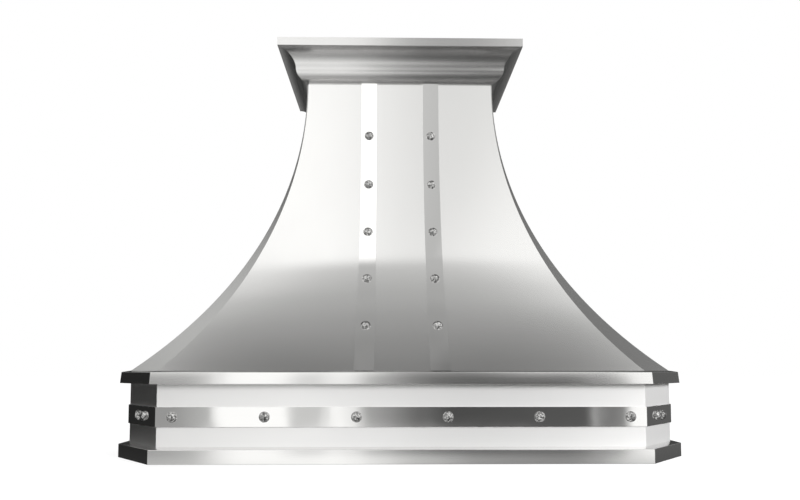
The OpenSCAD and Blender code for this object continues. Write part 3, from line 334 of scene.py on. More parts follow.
# Back panel: the flat closing sheet at the wall, of plain zinc-coated sheet with its four holes.
# It is smoother and brighter than the frames.
dress(zinc("back_zinc", 0.70, 0.56, 0.26, 0.42), "back_panel")


# Liner: the satin steel box that holds the filters and the lamps, made up of its rim, its roof and
# walls, and the folded shelf. Its brush lines run from side to side.
cloud_scale = 4.0
steel_warmth = 0.004
grain_group, given, result = effect(
    "brushed_grain", {"Vector": None, "Light": grey(0.8), "Dark": grey(0.6), "Smooth": 0.2,
                      "Coarse": 0.3, "Smudge": 0.3},
    {"Color": "Color", "Roughness": "Float", "Height": "Float"})
lines = put(grain_group, "ShaderNodeTexNoise", {
    "Vector": given.outputs["Vector"], "Scale": 1.0, "Detail": 3.0, "Roughness": 0.6})
cloud = put(grain_group, "ShaderNodeTexNoise", {
    "Vector": put(grain_group, "ShaderNodeTexCoord").outputs["Object"], "Scale": cloud_scale,
    "Detail": 5.0, "Roughness": 0.55})
worn = put(grain_group, "ShaderNodeMix", {
    "Factor": given.outputs["Smudge"], 2: lines.outputs["Fac"], 3: cloud.outputs["Fac"]})
spread = put(grain_group, "ShaderNodeMapRange", {
    "Value": worn.outputs[0], "From Min": 0.25, "From Max": 0.75})
tint = blend_tones(grain_group, spread.outputs["Result"], given.outputs["Dark"],
                   given.outputs["Light"])
soften = put(grain_group, "ShaderNodeMapRange", {
    "Value": spread.outputs["Result"], "To Min": given.outputs["Coarse"],
    "To Max": given.outputs["Smooth"]})
grain_group.links.new(tint, result.inputs["Color"])
grain_group.links.new(soften.outputs["Result"], result.inputs["Roughness"])
grain_group.links.new(lines.outputs["Fac"], result.inputs["Height"])


# Streaks run square to this way, or along it after a quarter turn. It leans a little, so that
# flat tops have a way across too.
nearly_up = (0.02, 0.03, 1)
quarter_turn = 0.25


def brushed(name, light, dark, smooth, coarse, lines, depth=0.000008, smudge=0.3, waves=None,
            streak=0.0, streak_up=False, metallic=1.0):
    """Brushed steel. lines is the pattern's scale along X, Y and Z: small where a line runs.
    depth is how deep the lines are, and smudge how much of the grain is soft clouds instead.
    waves is the depth and size, in metres, of slow waves in the sheet. streak draws reflections
    out across the brush lines: sideways on an upright sheet, or up and down with streak_up."""
    material, tree, shader = metal(name, grey(light), smooth, metallic)
    if streak:
        shader.inputs["Anisotropic"].default_value = streak
        shader.inputs["Anisotropic Rotation"].default_value = quarter_turn if streak_up else 0.0
        across = put(tree, "ShaderNodeVectorMath", {
            0: put(tree, "ShaderNodeNewGeometry").outputs["Normal"], 1: nearly_up},
            operation="CROSS_PRODUCT")
        tree.links.new(across.outputs["Vector"], shader.inputs["Tangent"])
    grain = put(tree, "ShaderNodeGroup", {
        "Vector": place_on(tree, lines), "Light": grey(light, steel_warmth),
        "Dark": grey(dark, steel_warmth), "Smooth": smooth, "Coarse": coarse, "Smudge": smudge},
        node_tree=grain_group)
    tree.links.new(grain.outputs["Color"], shader.inputs["Base Color"])
    tree.links.new(grain.outputs["Roughness"], shader.inputs["Roughness"])
    scratch = put(tree, "ShaderNodeBump", {
        "Height": grain.outputs["Height"], "Distance": depth, "Strength": 1.0})
    if waves:
        wave_h, wave_l = waves
        swell = put(tree, "ShaderNodeTexNoise", {
            "Vector": place_on(tree), "Detail": 1.5, "Scale": 1 / wave_l, "Roughness": 0.4})
        bend = put(tree, "ShaderNodeBump", {
            "Height": swell.outputs["Fac"], "Distance": wave_h, "Strength": 1.0})
        tree.links.new(bend.outputs["Normal"], scratch.inputs["Normal"])
    tree.links.new(scratch.outputs["Normal"], shader.inputs["Normal"])
    return material


satin = brushed("liner_satin", 0.66, 0.56, 0.28, 0.40, (6, 420, 420))
dress(satin, "liner_pan", "liner_rim", "lamp_shelf")


# Rim screws and filter clips: pan-head screws hold the liner's rim to the base frame, and bowed
# spring clips on the riser grip the filters. Both are bright zinc-plated steel.
def corners(points):
    """The lowest and the highest corner of the box round some points."""
    return (Vector([min(p[k] for p in points) for k in range(3)]),
            Vector([max(p[k] for p in points) for k in range(3)]))


def solids(name):
    """The lowest corner, the highest corner and the points of each solid in a CAD node."""
    mesh = frame["nodes"][name].data
    group = list(range(len(mesh.vertices)))

    def top(i):
        while group[i] != i:
            group[i] = group[group[i]]
            i = group[i]
        return i

    first = {}
    for v in mesh.vertices:
        spot = tuple(round(c, 5) for c in v.co)
        group[top(v.index)] = top(first.setdefault(spot, v.index))
    for face in mesh.polygons:
        for i in face.vertices[1:]:
            group[top(i)] = top(face.vertices[0])
    parts = {}
    for v in mesh.vertices:
        parts.setdefault(top(v.index), set()).add(tuple(round(c, 5) for c in v.co))
    found = []
    for part in parts.values():
        points = [Vector(p) for p in part]
        found.append((*corners(points), points))
    return sorted(found, key=lambda f: tuple(f[0]))


def smooth_mesh(name, verts, faces, material, crease=32):
    """A closed mesh with outward faces, smooth but for its creases, as an object."""
    mesh = bpy.data.meshes.new(name)
    mesh.from_pydata([tuple(v) for v in verts], [], faces)
    work = bmesh.new()
    work.from_mesh(mesh)
    bmesh.ops.remove_doubles(work, verts=work.verts, dist=1e-6)
    bmesh.ops.recalc_face_normals(work, faces=work.faces)
    work.to_mesh(mesh)
    work.free()
    mesh.shade_smooth()
    mesh.set_sharp_from_angle(angle=math.radians(crease))
    mesh.materials.append(material)
    piece = bpy.data.objects.new(name, mesh)
    scene.collection.objects.link(piece)
    return piece


def turned(name, profile, material, steps=48, place=Matrix.Identity(4)):
    """A turned shape from a closed profile of (radius, height) points, standing along Z."""
    verts, faces = [], []
    n = len(profile)
    for i in range(steps):
        a = 2 * math.pi * i / steps
        verts += [place @ Vector((r * math.cos(a), r * math.sin(a), z)) for r, z in profile]
    for i in range(steps):
        for k in range(n):
            a, b = i * n + k, i * n + (k + 1) % n
            c, d = ((i + 1) % steps) * n + (k + 1) % n, ((i + 1) % steps) * n + k
            ring = []
            for v in (a, b, c, d):
                if all((verts[v] - verts[w]).length > 1e-7 for w in ring):
                    ring.append(v)
            if len(ring) > 2:
                faces.append(ring)
    return smooth_mesh(name, verts, faces, material)


heads_tree = bpy.data.node_groups.new("heads_on_points", "GeometryNodeTree")
for key, kind in (("Geometry", "Geometry"), ("Head", "Object"), ("Finish", "Material")):
    heads_tree.interface.new_socket(key, in_out="INPUT", socket_type="NodeSocket" + kind)
heads_tree.interface.new_socket("Geometry", in_out="OUTPUT", socket_type="NodeSocketGeometry")
given = heads_tree.nodes.new("NodeGroupInput")
head = put(heads_tree, "GeometryNodeObjectInfo", {"Object": given.outputs["Head"]})
facing = put(heads_tree, "GeometryNodeInputNamedAttribute", {"Name": "facing"},
             data_type="FLOAT_VECTOR")
upright = put(heads_tree, "FunctionNodeAlignRotationToVector",
              {"Vector": facing.outputs["Attribute"]}, axis="Z")
placed = put(heads_tree, "GeometryNodeInstanceOnPoints", {
    "Points": given.outputs["Geometry"], "Instance": head.outputs["Geometry"],
    "Rotation": upright.outputs["Rotation"]})
real = put(heads_tree, "GeometryNodeRealizeInstances", {"Geometry": placed.outputs["Instances"]})
finished = put(heads_tree, "GeometryNodeSetMaterial", {
    "Geometry": real.outputs["Geometry"], "Material": given.outputs["Finish"]})
result = heads_tree.nodes.new("NodeGroupOutput")
heads_tree.links.new(finished.outputs["Geometry"], result.inputs["Geometry"])


def heads_at(name, head, spots, material):
    """Put one head on every spot, a pair of a place and the way it faces, as one plain mesh."""
    points = bpy.data.meshes.new(name + "_spots")
    points.from_pydata([tuple(place) for place, _ in spots], [], [])
    ways = points.attributes.new("facing", "FLOAT_VECTOR", "POINT")
    for item, (_, way) in zip(ways.data, spots):
        item.vector = way
    carrier = bpy.data.objects.new(name + "_spots", points)
    scene.collection.objects.link(carrier)
    step = carrier.modifiers.new("heads", "NODES")
    step.node_group = heads_tree
    sockets = {s.name: s.identifier for s in heads_tree.interface.items_tree
               if s.in_out == "INPUT"}
    step[sockets["Head"]] = head
    step[sockets["Finish"]] = material
    bpy.context.view_layer.update()
    seen = carrier.evaluated_get(bpy.context.evaluated_depsgraph_get())
    mesh = bpy.data.meshes.new_from_object(seen)
    carrier.modifiers.remove(step)
    bpy.data.objects.remove(carrier)
    bpy.data.objects.remove(head)
    mesh.name = name
    piece = bpy.data.objects.new(name, mesh)
    scene.collection.objects.link(piece)
    return piece


plated = brushed("screw_zinc", 0.74, 0.60, 0.20, 0.34, (300, 300, 300), smudge=0.5)
screws = solids("rim_screws")
screw_low, screw_high, _ = screws[0]
head_r = (screw_high.x - screw_low.x) / 2
head_h = head_r * 0.34
shank_r = head_r / 2
screw_l = screw_high.z - screw_low.z
rim_screw = turned("rim_screw", [
    (0, -screw_l), (shank_r, -screw_l), (shank_r, -head_h), (head_r, -head_h),
    (head_r * 0.96, -head_h * 0.55), (head_r * 0.78, -head_h * 0.14), (head_r * 0.5, 0),
    (head_r * 0.42, 0), (head_r * 0.30, -head_h * 0.6), (0, -head_h * 0.6)], plated, steps=24)
spots = [(Vector(((low.x + high.x) / 2, (low.y + high.y) / 2, low.z)), Vector((0, 0, -1)))
         for low, high, _ in screws]
rim_screw_set = heads_at("rim_screw_set", rim_screw, spots, plated)
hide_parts("rim_screws")
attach(rim_screw_set, "root")
dress(plated, "filter_clips")


# Lamps: each has a polished ring, a ribbed frosted glass and a pressed can above the shelf.
# The ring's edge is rolled, and the glass stands a little back from it.
rib_pitch, rib_depth = 0.0032, 0.0006
ribs_group, given, result = effect("glass_ribs", {"Vector": None, "Pitch": rib_pitch},
                                   {"Height": "Float"})
apart = put(ribs_group, "ShaderNodeVectorMath", {0: given.outputs["Vector"]}, operation="LENGTH")
count = put(ribs_group, "ShaderNodeMath", {0: apart.outputs["Value"], 1: given.outputs["Pitch"]},
            operation="DIVIDE")
wave = put(ribs_group, "ShaderNodeMath", {0: count.outputs["Value"], 1: 0.5},
           operation="PINGPONG")
ribs_group.links.new(wave.outputs["Value"], result.inputs["Height"])

ring_steel = brushed("lamp_ring_polish", 0.82, 0.76, 0.07, 0.13, (60, 60, 60))
for side, (low, high, _), (glass_low, glass_high, _) in zip(
        ("left", "right"), solids("lamp_bezels"), solids("lamp_lenses")):
    middle = (low + high) / 2
    ring_r = (high.x - low.x) / 2
    glass_r = (glass_high.x - glass_low.x) / 2
    ring_h = high.z - low.z
    at_lamp = Matrix.Translation((middle.x, middle.y, low.z))
    edge = ring_h * 0.35
    ring = turned(side + "_lamp_ring", [
        (glass_r, ring_h), (glass_r, edge), (glass_r + edge * 0.4, edge * 0.3),
        (glass_r + edge, 0), (ring_r - edge * 2, 0), (ring_r - edge * 0.6, edge * 0.6),
        (ring_r, edge * 2), (ring_r, ring_h)], ring_steel, 64, at_lamp)
    glass_material, tree, shader = metal(side + "_lamp_glass", (0.86, 0.87, 0.86, 1), 0.25, 0.0)
    shader.inputs["Transmission Weight"].default_value = 0.35
    shader.inputs["IOR"].default_value = 1.5
    about = put(tree, "ShaderNodeMapping", {
        "Vector": put(tree, "ShaderNodeTexCoord").outputs["Object"],
        "Location": (-middle.x, -middle.y, -low.z)})
    ribs = put(tree, "ShaderNodeGroup", {
        "Vector": about.outputs["Vector"], "Pitch": rib_pitch}, node_tree=ribs_group)
    relief = put(tree, "ShaderNodeBump", {
        "Height": ribs.outputs["Height"], "Distance": rib_depth, "Strength": 0.8})
    tree.links.new(relief.outputs["Normal"], shader.inputs["Normal"])
    glass_h = glass_high.z - glass_low.z
    glass = turned(side + "_lamp_glass", [
        (0, glass_h), (glass_r, glass_h), (glass_r, glass_h * 0.25),
        (glass_r * 0.94, glass_h * 0.08), (glass_r * 0.6, 0), (0, 0)],
        glass_material, 64, Matrix.Translation((middle.x, middle.y, glass_low.z)))
    for piece, node, slot in ((ring, "lamp_bezels", "lamp_trim"),
                              (glass, "lamp_lenses", "lamp_glass")):
        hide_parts(node)
        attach(piece, "root")
dress(zinc("lamp_can", 0.62, 0.52, 0.30, 0.42), "lamp_bodies")


# Knobs: two turned aluminium knobs with a raised grip bar, one for the fan and one for the lamps.
# They turn on shafts that pass through the shelf into the switches. A thin painted line on the
# grip shows the setting.
knob_body_h = 0.018
grip_end_gap, grip_overlap, grip_edge = 0.0005, 0.0002, 0.0012
mark_half_w, mark_start, mark_sink, mark_edge = 0.0007, 0.002, 0.001, 0.0002
knob_metal = brushed("knob_aluminium", 0.62, 0.50, 0.18, 0.30, (240, 240, 60), smudge=0.2)
mark_paint, tree, shader = metal("knob_mark", (0.03, 0.03, 0.032, 1), 0.5, 0.0)
speck = put(tree, "ShaderNodeTexNoise", {"Vector": place_on(tree), "Scale": 900.0})
fade = put(tree, "ShaderNodeMapRange", {
    "Value": speck.outputs["Fac"], "To Min": 0.4, "To Max": 0.6})
tree.links.new(fade.outputs["Result"], shader.inputs["Roughness"])


def rounded_bar(name, low, high, edge, material):
    """A bar between two corners, with cut upright edges and rounded lower ones."""
    verts, faces = [], []
    rings = ((edge, 0), (edge * 0.3, edge * 0.3), (0, edge), (0, high.z - low.z))
    cut, sides = edge * 1.4, 8
    for inset, up in rings:
        x0, x1, y0, y1 = low.x + inset, high.x - inset, low.y + inset, high.y - inset
        z = low.z + up
        verts += [(x0 + cut, y0, z), (x1 - cut, y0, z), (x1, y0 + cut, z), (x1, y1 - cut, z),
                  (x1 - cut, y1, z), (x0 + cut, y1, z), (x0, y1 - cut, z), (x0, y0 + cut, z)]
    for r in range(len(rings) - 1):
        for k in range(sides):
            a, b = sides * r + k, sides * r + (k + 1) % sides
            faces.append((a, b, b + sides, a + sides))
    faces.append(list(range(sides)))
    faces.append([sides * (len(rings) - 1) + k for k in range(sides)])
    return smooth_mesh(name, verts, faces, material)


for body in ("fan_knob", "light_knob"):
    low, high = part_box(body)
    middle = (low + high) / 2
    knob_r = (high.x - low.x) / 2
    shaft_r = knob_r / 6
    grip_half_w = knob_r / 6
    grip_h = knob_body_h / 3
    skirt = knob_r * 0.08
    knob = turned(body + "_turned", [
        (0, grip_h), (knob_r - skirt * 2, grip_h), (knob_r - skirt * 0.6, grip_h + skirt * 0.5),
        (knob_r, grip_h + skirt * 1.6), (knob_r, knob_body_h - skirt),
        (knob_r - skirt, knob_body_h), (shaft_r, knob_body_h), (shaft_r, high.z - low.z),
        (0, high.z - low.z)],
        knob_metal, 64, Matrix.Translation((middle.x, middle.y, low.z)))
    bar = rounded_bar(
        body + "_grip", Vector((middle.x - grip_half_w, low.y + grip_end_gap, low.z)),
        Vector((middle.x + grip_half_w, high.y - grip_end_gap, low.z + grip_h + grip_overlap)),
        grip_edge, knob_metal)
    mark = rounded_bar(
        body + "_mark", Vector((middle.x - mark_half_w, low.y + mark_start, low.z)),
        Vector((middle.x + mark_half_w, low.y + knob_r * 0.7, low.z + mark_sink)),
        mark_edge, mark_paint)
    for piece in (knob, bar, mark):
        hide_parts(body)
        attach(piece, body)


def uneven_skin(name, tone, rough, scale, depth, strength):
    """A moulded or enamelled skin, with fine dents of that scale and depth."""
    material, tree, shader = metal(name, tone, rough, 0.0)
    skin = put(tree, "ShaderNodeTexNoise", {
        "Vector": place_on(tree), "Scale": scale, "Detail": 2.0})
    dent = put(tree, "ShaderNodeBump", {
        "Height": skin.outputs["Fac"], "Distance": depth, "Strength": strength})
    tree.links.new(dent.outputs["Normal"], shader.inputs["Normal"])
    return material


black_nylon = uneven_skin("switch_nylon", (0.035, 0.035, 0.037, 1), 0.45, 1400.0, 0.00004, 1.0)
dress(black_nylon, "control_switches", "wiring")


# Filters: three baffle filters that hang on the rear ledge and are held by the clips in front.
# Each is a satin steel frame with two rows of channels, and a bent rod for a handle.
filter_steel = brushed("filter_satin", 0.72, 0.60, 0.22, 0.34, (420, 6, 420))
baffle_steel = brushed("baffle_satin", 0.68, 0.55, 0.20, 0.32, (420, 6, 420), smudge=0.45)
dress(filter_steel, "left_filter", "centre_filter", "right_filter")
dress(baffle_steel, "left_baffles", "centre_baffles", "right_baffles")
rod_steel = brushed("handle_polish", 0.82, 0.74, 0.08, 0.16, (120, 300, 300))


def arc(x, z, r, start, end, steps):
    """Points of an arc, between two angles in degrees."""
    angles = [math.radians(start + (end - start) * i / steps) for i in range(steps + 1)]
    return [(x + r * math.cos(a), z + r * math.sin(a)) for a in angles]


def bent_rod(name, route, rod_r, material, around=16):
    """A round rod that follows a route of points in one plane, with closed ends."""
    verts, faces = [], []
    for i, spot in enumerate(route):
        ahead = route[min(i + 1, len(route) - 1)] - route[max(i - 1, 0)]
        side = ahead.normalized()
        out = side.orthogonal() if i == 0 else out - side * out.dot(side)
        out.normalize()
        up = side.cross(out)
        for k in range(around):
            a = 2 * math.pi * k / around
            verts.append(spot + rod_r * (math.cos(a) * out + math.sin(a) * up))
    for i in range(len(route) - 1):
        for k in range(around):
            a, b = i * around + k, i * around + (k + 1) % around
            faces.append((a, b, b + around, a + around))
    faces.append(list(range(around)))
    faces.append([(len(route) - 1) * around + k for k in range(around)])
    return smooth_mesh(name, verts, faces, material)


filter_slope = math.radians(8)
bend_steps = 8
for joint in frame["joints"]:
    if not joint["name"].endswith("_filter_hinge"):
        continue
    body = joint["child"]
    slope = Matrix.Translation(joint["pos_m"]) @ Matrix.Rotation(-filter_slope, 4, "X")
    low, high = corners([slope.inverted() @ v.co
                         for v in frame["nodes"][body + "_handle"].data.vertices])
    rod_r = (high.y - low.y) / 2
    x0, x1 = low.x + rod_r, high.x - rod_r
    y, z0, z1 = (low.y + high.y) / 2, low.z + rod_r, high.z
    bend_r = 3 * rod_r
    route = [Vector((x0, y, z1))]
    for bend_x, start in ((x0 + bend_r, 180), (x1 - bend_r, 270)):
        route += [Vector((x, y, z)) for x, z in arc(bend_x, z0 + bend_r, bend_r, start, start + 90,
                                                    bend_steps)]
    route.append(Vector((x1, y, z1)))
    handle = bent_rod(body + "_pull", [slope @ p for p in route], rod_r, rod_steel)
    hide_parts(body + "_handle")
    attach(handle, body)


# Grease tray: a folded trough of satin steel that stands on two brackets behind the filters.
# It lifts out over the brackets' lips.
dress(brushed("tray_satin", 0.66, 0.54, 0.24, 0.38, (6, 420, 420)), "grease_tray")


# Junction box: a zinc-coated box with a loose lid on the liner's roof. Black cables run from it
# to the blower and to the switches.
dress(zinc("box_zinc", 0.66, 0.52, 0.30, 0.46), "junction_box", "junction_lid")


# Blower: a zinc-coated box round a scroll housing, with a drum impeller on the shaft of its motor.
# The motor is enamelled dark grey, and its shaft is ground steel.
dress(zinc("box_sheet", 0.64, 0.50, 0.30, 0.46), "blower_box", "blower_housing")
dress(zinc("drum_zinc", 0.60, 0.44, 0.34, 0.48), "impeller")
dress(brushed("ground_shaft", 0.78, 0.68, 0.12, 0.2, (8, 500, 500)), "motor_shaft", "damper_pin")
dress(uneven_skin("motor_enamel", (0.07, 0.075, 0.08, 1), 0.4, 500.0, 0.00008, 0.7),
      "blower_motor")


# Exhaust duct, damper and top plate: the zinc-coated boot and pipe end in a flanged collar. Two
# half-round flaps in the collar open with the air stream.
duct_zinc = zinc("duct_zinc", 0.72, 0.54, 0.24, 0.40)
dress(duct_zinc, "exhaust_duct", "left_damper_flap", "right_damper_flap")
dress(zinc("plate_zinc", 0.68, 0.54, 0.28, 0.42), "top_plate")
low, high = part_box("duct_collar")
collar_x, collar_y = (low.x + high.x) / 2, (low.y + high.y) / 2
flange_w, neck_step = 0.012, 0.0015
duct_t, flange_t = 0.001, 0.002
flange_r = (high.x - low.x) / 2
spigot_r = flange_r - flange_w
spigot_in, neck_r = spigot_r - duct_t, spigot_r - neck_step
flange_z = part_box("top_plate")[0].z + flange_t
ledge_z = flange_z + flange_t
# The groove round the spigot, and the flange's soft edge.
groove_drop, groove_h, groove_depth = 0.031, 0.003, 0.0008
groove_z = high.z - groove_drop
groove_low, groove_high = groove_z - groove_h, groove_z + groove_h
collar = turned("duct_collar_turned", [
    (neck_r - duct_t, low.z), (neck_r, low.z), (neck_r, flange_z),
    (flange_r - groove_depth, flange_z), (flange_r, flange_z + groove_depth), (flange_r, ledge_z),
    (spigot_r, ledge_z), (spigot_r, groove_low), (spigot_r - groove_depth, groove_z),
    (spigot_r, groove_high), (spigot_r, high.z), (spigot_in, high.z), (spigot_in, groove_high),
    (spigot_in - groove_depth, groove_z), (spigot_in, groove_low), (spigot_in, ledge_z),
    (neck_r - duct_t, ledge_z)],
    duct_zinc, 96, Matrix.Translation((collar_x, collar_y, 0)))
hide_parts("duct_collar")
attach(collar, "root")


# Apron and bands: three upright sheets with a folded band along their foot and another along
# their shoulder. The sheets are brushed, and the bands are polished bright.
apron_steel = brushed("apron_brushed", 0.97, 0.94, 0.42, 0.48, (8, 1400, 1400), smudge=0.35,
                      waves=(0.0012, 0.16), streak=0.9, streak_up=True, metallic=0.72)
dress(apron_steel, "apron_front", "apron_left", "apron_right")
band_polish = brushed("band_polish", 0.88, 0.84, 0.15, 0.19, (6, 1400, 1400), smudge=0.5,
                      waves=(0.0004, 0.12), streak=0.9, streak_up=True)
wall_y = cad_high.y
apron_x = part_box("apron_right")[1].x
apron_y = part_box("apron_front")[0].y
sheet_t = 0.0015
band_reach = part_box("foot_band")[1].x - apron_x
band_cut, band_fall = 0.105, 0.003
cut_slip = 2 - math.sqrt(2)


def apron_plan(out):
    """Corners of the apron's outline in plan, from wall to wall, a distance outside the sheets."""
    x, y = apron_x + out, apron_y - out
    c = band_cut - (band_reach - out) * cut_slip
    return [(-x, wall_y), (-x, y + c), (-x + c, y), (x - c, y), (x, y + c), (x, wall_y)]


def moulding(name, plan, section, material):
    """Sweep a closed section of (distance out, height) along a plan, with mitred corners."""
    rings = [[(*plan(out)[k], z) for out, z in section] for k in range(len(plan(0)))]
    n = len(section)
    faces = [list(range(n)), [(len(rings) - 1) * n + k for k in range(n)]]
    for i in range(len(rings) - 1):
        for k in range(n):
            a, b = i * n + k, i * n + (k + 1) % n
            faces.append((a, b, b + n, a + n))
    return smooth_mesh(name, [v for ring in rings for v in ring], faces, material, crease=25)


def rounded(before, corner, after, r, steps=6):
    """Points of a fold's arc that takes the place of a sharp corner in a section."""
    before, corner, after = Vector(before), Vector(corner), Vector(after)
    u, v = (before - corner).normalized(), (after - corner).normalized()
    half = u.angle(v) / 2
    middle = corner + (u + v).normalized() * r / math.sin(half)
    start = corner + u * r / math.tan(half) - middle
    sweep = start.angle_signed(corner + v * r / math.tan(half) - middle)
    points = []
    for i in range(steps + 1):
        c, s = math.cos(-sweep * i / steps), math.sin(-sweep * i / steps)
        points.append((middle.x + c * start.x - s * start.y, middle.y + s * start.x + c * start.y))
    return points


def band_section(low_z, high_z, rake):
    """A band's section: an upright face, and a top that falls a little from the apron."""
    edge_x, edge_z = band_reach - rake, high_z - band_fall
    inner_x = edge_x - sheet_t
    inner_z = high_z - band_fall * inner_x / edge_x - sheet_t
    foot, nose = (band_reach, low_z), (edge_x, edge_z)
    inner_foot, inner_nose = (band_reach - sheet_t, low_z + sheet_t), (inner_x, inner_z)
    fold_r = sheet_t
    return ([(0, low_z)] + rounded((0, low_z), foot, nose, fold_r / 2)
            + rounded(foot, nose, (0, high_z), fold_r) + [(0, high_z), (0, high_z - sheet_t)]
            + rounded((0, high_z - sheet_t), inner_nose, inner_foot, fold_r / 4, 2)
            + rounded(inner_nose, inner_foot, (0, low_z + sheet_t), fold_r / 4, 2)
            + [(0, low_z + sheet_t)])


for name, node, rake in (("foot_band_folded", "foot_band", 0.0),
                         ("shoulder_band_folded", "shoulder_band", 0.0025)):
    low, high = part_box(node)
    band = moulding(name, apron_plan, band_section(low.z, high.z, rake), band_polish)
    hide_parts(node)
    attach(band, "root")


# Flared body: a front, two sides and two narrow corner sheets, rolled to one sweep that stands
# upright under the crown and spreads towards the apron. All are brushed and welded at the edges.
panel_steel = brushed("panel_brushed", 0.91, 0.88, 0.14, 0.18, (1400, 12, 12), depth=0.000003,
                      smudge=0.35, waves=(0.0004, 0.30), streak=1.0)
hood_z = cad_high.z
apron_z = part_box("shoulder_band")[1].z
crown_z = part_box("crown_front")[0].z
neck_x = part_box("crown_right")[0].x
neck_depth = wall_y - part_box("crown_front")[1].y
side_flare_drop, front_flare_drop = 0.083, 0.111
side_flare_z = hood_z - side_flare_drop
front_flare_z = hood_z - front_flare_drop
neck_cut = 0.003
corner_taper = 2.9
apron_cut = band_cut - band_reach * cut_slip
flare_steps = 64
levels = [apron_z + (crown_z - apron_z) * i / flare_steps for i in range(flare_steps + 1)]


class Sweep:
    """An upright wall that bends outwards on a circle below its start."""

    def __init__(self, neck, foot, start):
        self.neck, self.start = neck, start
        run, drop = foot - neck, start - apron_z
        self.r = (run * run + drop * drop) / (2 * run)

    def lean(self, z):
        """The wall's angle from upright."""
        return math.asin(max(0.0, self.start - z) / self.r)

    def at(self, z):
        """How far out the wall stands."""
        return self.neck + self.r * (1 - math.cos(self.lean(z)))

    def wall(self, z, t):
        """How far a sheet of thickness t reaches, measured level."""
        return t / math.cos(self.lean(z))


side_sweep = Sweep(neck_x, apron_x, side_flare_z)
front_sweep = Sweep(neck_depth, wall_y - apron_y, front_flare_z)


def corner_cut(z):
    """The leg of the cut corner, which widens towards the apron."""
    below = max(0.0, side_flare_z - z) / (side_flare_z - apron_z)
    return neck_cut + (apron_cut - neck_cut) * below ** corner_taper


def sheet_of(name, outer, inner, material):
    """A closed sheet between two grids of points, its outer and its inner face."""
    rows, cols = len(outer), len(outer[0])
    verts = [p for grid in (outer, inner) for row in grid for p in row]
    back = rows * cols
    faces = []
    for r in range(rows - 1):
        for c in range(cols - 1):
            a = r * cols + c
            faces.append((a, a + 1, a + cols + 1, a + cols))
            faces.append((back + a, back + a + cols, back + a + cols + 1, back + a + 1))
    rim = ([r * cols for r in range(rows)] + [(rows - 1) * cols + c for c in range(1, cols)]
           + [r * cols + cols - 1 for r in range(rows - 2, -1, -1)]
           + list(range(cols - 2, 0, -1)))
    for a, b in zip(rim, rim[1:] + rim[:1]):
        faces.append((a, b, back + b, back + a))
    return smooth_mesh(name, verts, faces, material)


def between(a, b, steps):
    """Even steps from one value to another."""
    return [a + (b - a) * i / steps for i in range(steps + 1)]


front_columns, side_columns = 8, 5
front_outer, front_inner = [], []
side_outer, side_inner = [], []
corner_outer, corner_inner = [], []
for z in levels + [hood_z]:
    x, y, c = side_sweep.at(z), wall_y - front_sweep.at(z), corner_cut(z)
    side_wall, front_wall = side_sweep.wall(z, sheet_t), front_sweep.wall(z, sheet_t)
    across = between(c - x, x - c, front_columns)
    back = between(y + c, wall_y, side_columns)
    front_outer.append([(u, y, z) for u in across])
    front_inner.append([(u, y + front_wall, z) for u in across])
    side_outer.append([(x, v, z) for v in back])
    side_inner.append([(x - side_wall, v, z) for v in back])
    corner_outer.append([(x - c, y, z), (x, y + c, z)])
    corner_inner.append([(x - c, y + front_wall, z), (x - side_wall, y + c, z)])


def mirrored(grid):
    """The same grid on the hood's other side."""
    return [[(-x, y, z) for x, y, z in row] for row in grid]


for name, node, outer, inner in (
        ("front_sweep", "front_panel", front_outer, front_inner),
        ("right_sweep", "right_side_panel", side_outer, side_inner),
        ("left_sweep", "left_side_panel", mirrored(side_outer), mirrored(side_inner)),
        ("right_corner_sweep", "right_corner_panel", corner_outer, corner_inner),
        ("left_corner_sweep", "left_corner_panel", mirrored(corner_outer),
         mirrored(corner_inner))):
    panel = sheet_of(name, outer, inner, panel_steel)
    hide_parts(node)
    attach(panel, "root")


# Straps: flat bars polished like a mirror. Two follow the sweep from the crown to the shoulder,
# and three run round the apron and meet in the middle of its cut corners.
strap_polish = brushed("strap_mirror", 0.96, 0.94, 0.03, 0.06, (90, 90, 3), depth=0.000002,
                       smudge=0.6, waves=(0.0001, 0.09))
strap_t = 0.003
for node in ("left_strap", "right_strap"):
    low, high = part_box(node)
    outer = [[(x, wall_y - front_sweep.at(z) - front_sweep.wall(z, strap_t), z)
              for x in (low.x, high.x)] for z in levels]
    inner = [[(x, wall_y - front_sweep.at(z), z) for x in (low.x, high.x)] for z in levels]
    strap = sheet_of(node + "_bar", outer, inner, strap_polish)
    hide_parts(node)
    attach(strap, "root")
dress(brushed("apron_strap_mirror", 0.87, 0.85, 0.03, 0.06, (3, 90, 90), depth=0.000002,
              smudge=0.6, waves=(0.0004, 0.10)),
      "apron_strap_front", "apron_strap_left", "apron_strap_right")


# Studs: forged and chromed heads, riveted through the straps. Each is a dome on a thin round
# flange, lightly hammered, so that its facets catch both the dark and the bright parts of the room.
# Its colour is also spotted near-black and white: painted dark and bright reflections.
# Light 1.0 and dark 0.02 paint reflections into the colour, as black and white patches on each
# head.
chrome = brushed("stud_chrome_painted_reflections", 1.0, 0.02, 0.02, 0.04, (230, 230, 230), depth=0.0002, smudge=0.0,
                 waves=(0.0035, 0.008))


def stud_head(stud_r, stud_h):
    """One stud's head, with its flat foot at the origin."""
    flange = stud_h * 0.16
    dome_r = stud_r * 0.92
    dome = [(dome_r * math.cos(math.radians(a)),
             flange + (stud_h - flange) * math.sin(math.radians(a))) for a in range(0, 91, 9)]
    return turned("stud_head", [(0, 0), (stud_r, 0), (stud_r, flange * 0.6),
                                (stud_r - flange * 0.5, flange)] + dome[:-1] + [(0, stud_h)],
                  chrome, 40)


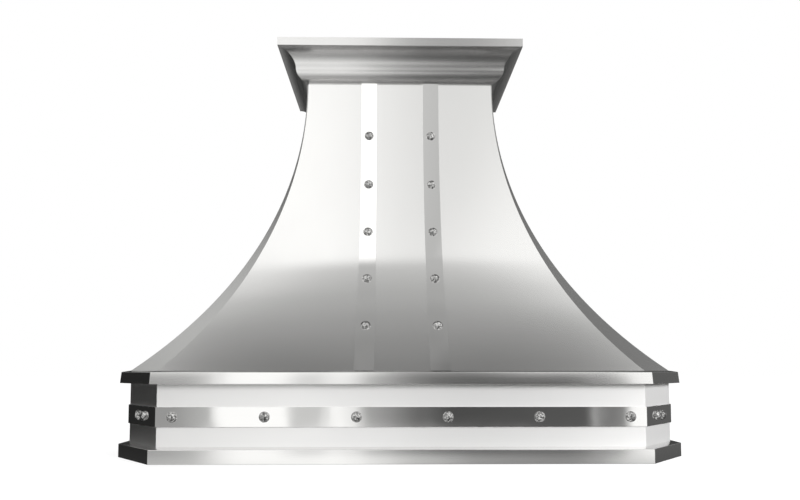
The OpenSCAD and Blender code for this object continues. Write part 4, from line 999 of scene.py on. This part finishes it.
for name, node in (("strap_studs_turned", "strap_studs_set"),
                   ("apron_studs_turned", "apron_studs_set")):
    spots = []
    for low, high, points in solids(node):
        middle = (low + high) / 2
        if node == "strap_studs_set":
            level = min(levels, key=lambda z: abs(z - middle.z))
            lean = front_sweep.lean(level)
            way = Vector((0, -math.cos(lean), math.sin(lean)))
        elif abs(middle.x) > apron_x - sheet_t:
            way = Vector((math.copysign(1, middle.x), 0, 0))
        elif middle.y < apron_y + sheet_t:
            way = Vector((0, -1, 0))
        else:
            way = Vector((math.copysign(1, middle.x), -1, 0)).normalized()
        along = [p.dot(way) for p in points]
        stud_r = max((p - middle - way * (p - middle).dot(way)).length for p in points)
        stud_h = max(along) - min(along)
        spots.append((middle + way * (min(along) - middle.dot(way)), way))
    studs = heads_at(name, stud_head(stud_r, stud_h), spots, chrome)
    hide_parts(node)
    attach(studs, "root")


# Crown: three mitred lengths of a hollow moulding round the top. Its sheet is rolled into one
# smooth curve, round below and hollow above, under a plain upright face.
crown_steel = brushed("crown_brushed", 0.82, 0.78, 0.23, 0.27, (8, 1400, 1400), depth=0.000002,
                      waves=(0.0003, 0.20), streak=0.9, streak_up=True)
crown_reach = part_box("crown_right")[1].x - neck_x
fascia_h, bead_r = 0.020, 0.026
bead_steps, cove_steps = 18, 24
fascia_z = hood_z - fascia_h
bead_z = crown_z + bead_r
cove_x = crown_reach - sheet_t
cove_r = cove_x - bead_r
cove_z = fascia_z - cove_r
crown_section = (
    arc(0, bead_z, bead_r, -90, 0, bead_steps)
    + arc(cove_x, cove_z, cove_r, 180, 90, cove_steps)
    + [(crown_reach, fascia_z), (crown_reach, hood_z), (0, hood_z), (0, hood_z - sheet_t),
       (crown_reach - sheet_t, hood_z - sheet_t)]
    + arc(cove_x, cove_z, cove_r + sheet_t, 90, 180, cove_steps)
    + arc(0, bead_z, bead_r - sheet_t, 0, -90, bead_steps))


def crown_plan(out):
    """Corners of the crown's outline in plan, from wall to wall, a distance outside the neck."""
    x, y = neck_x + out, wall_y - neck_depth - out
    return [(-x, wall_y), (-x, y), (x, y), (x, wall_y)]


for k, node in enumerate(("crown_left", "crown_front", "crown_right")):
    run = moulding(node + "_run", lambda out, k=k: crown_plan(out)[k:k + 2], crown_section,
                   crown_steel)
    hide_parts(node)
    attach(run, "root")
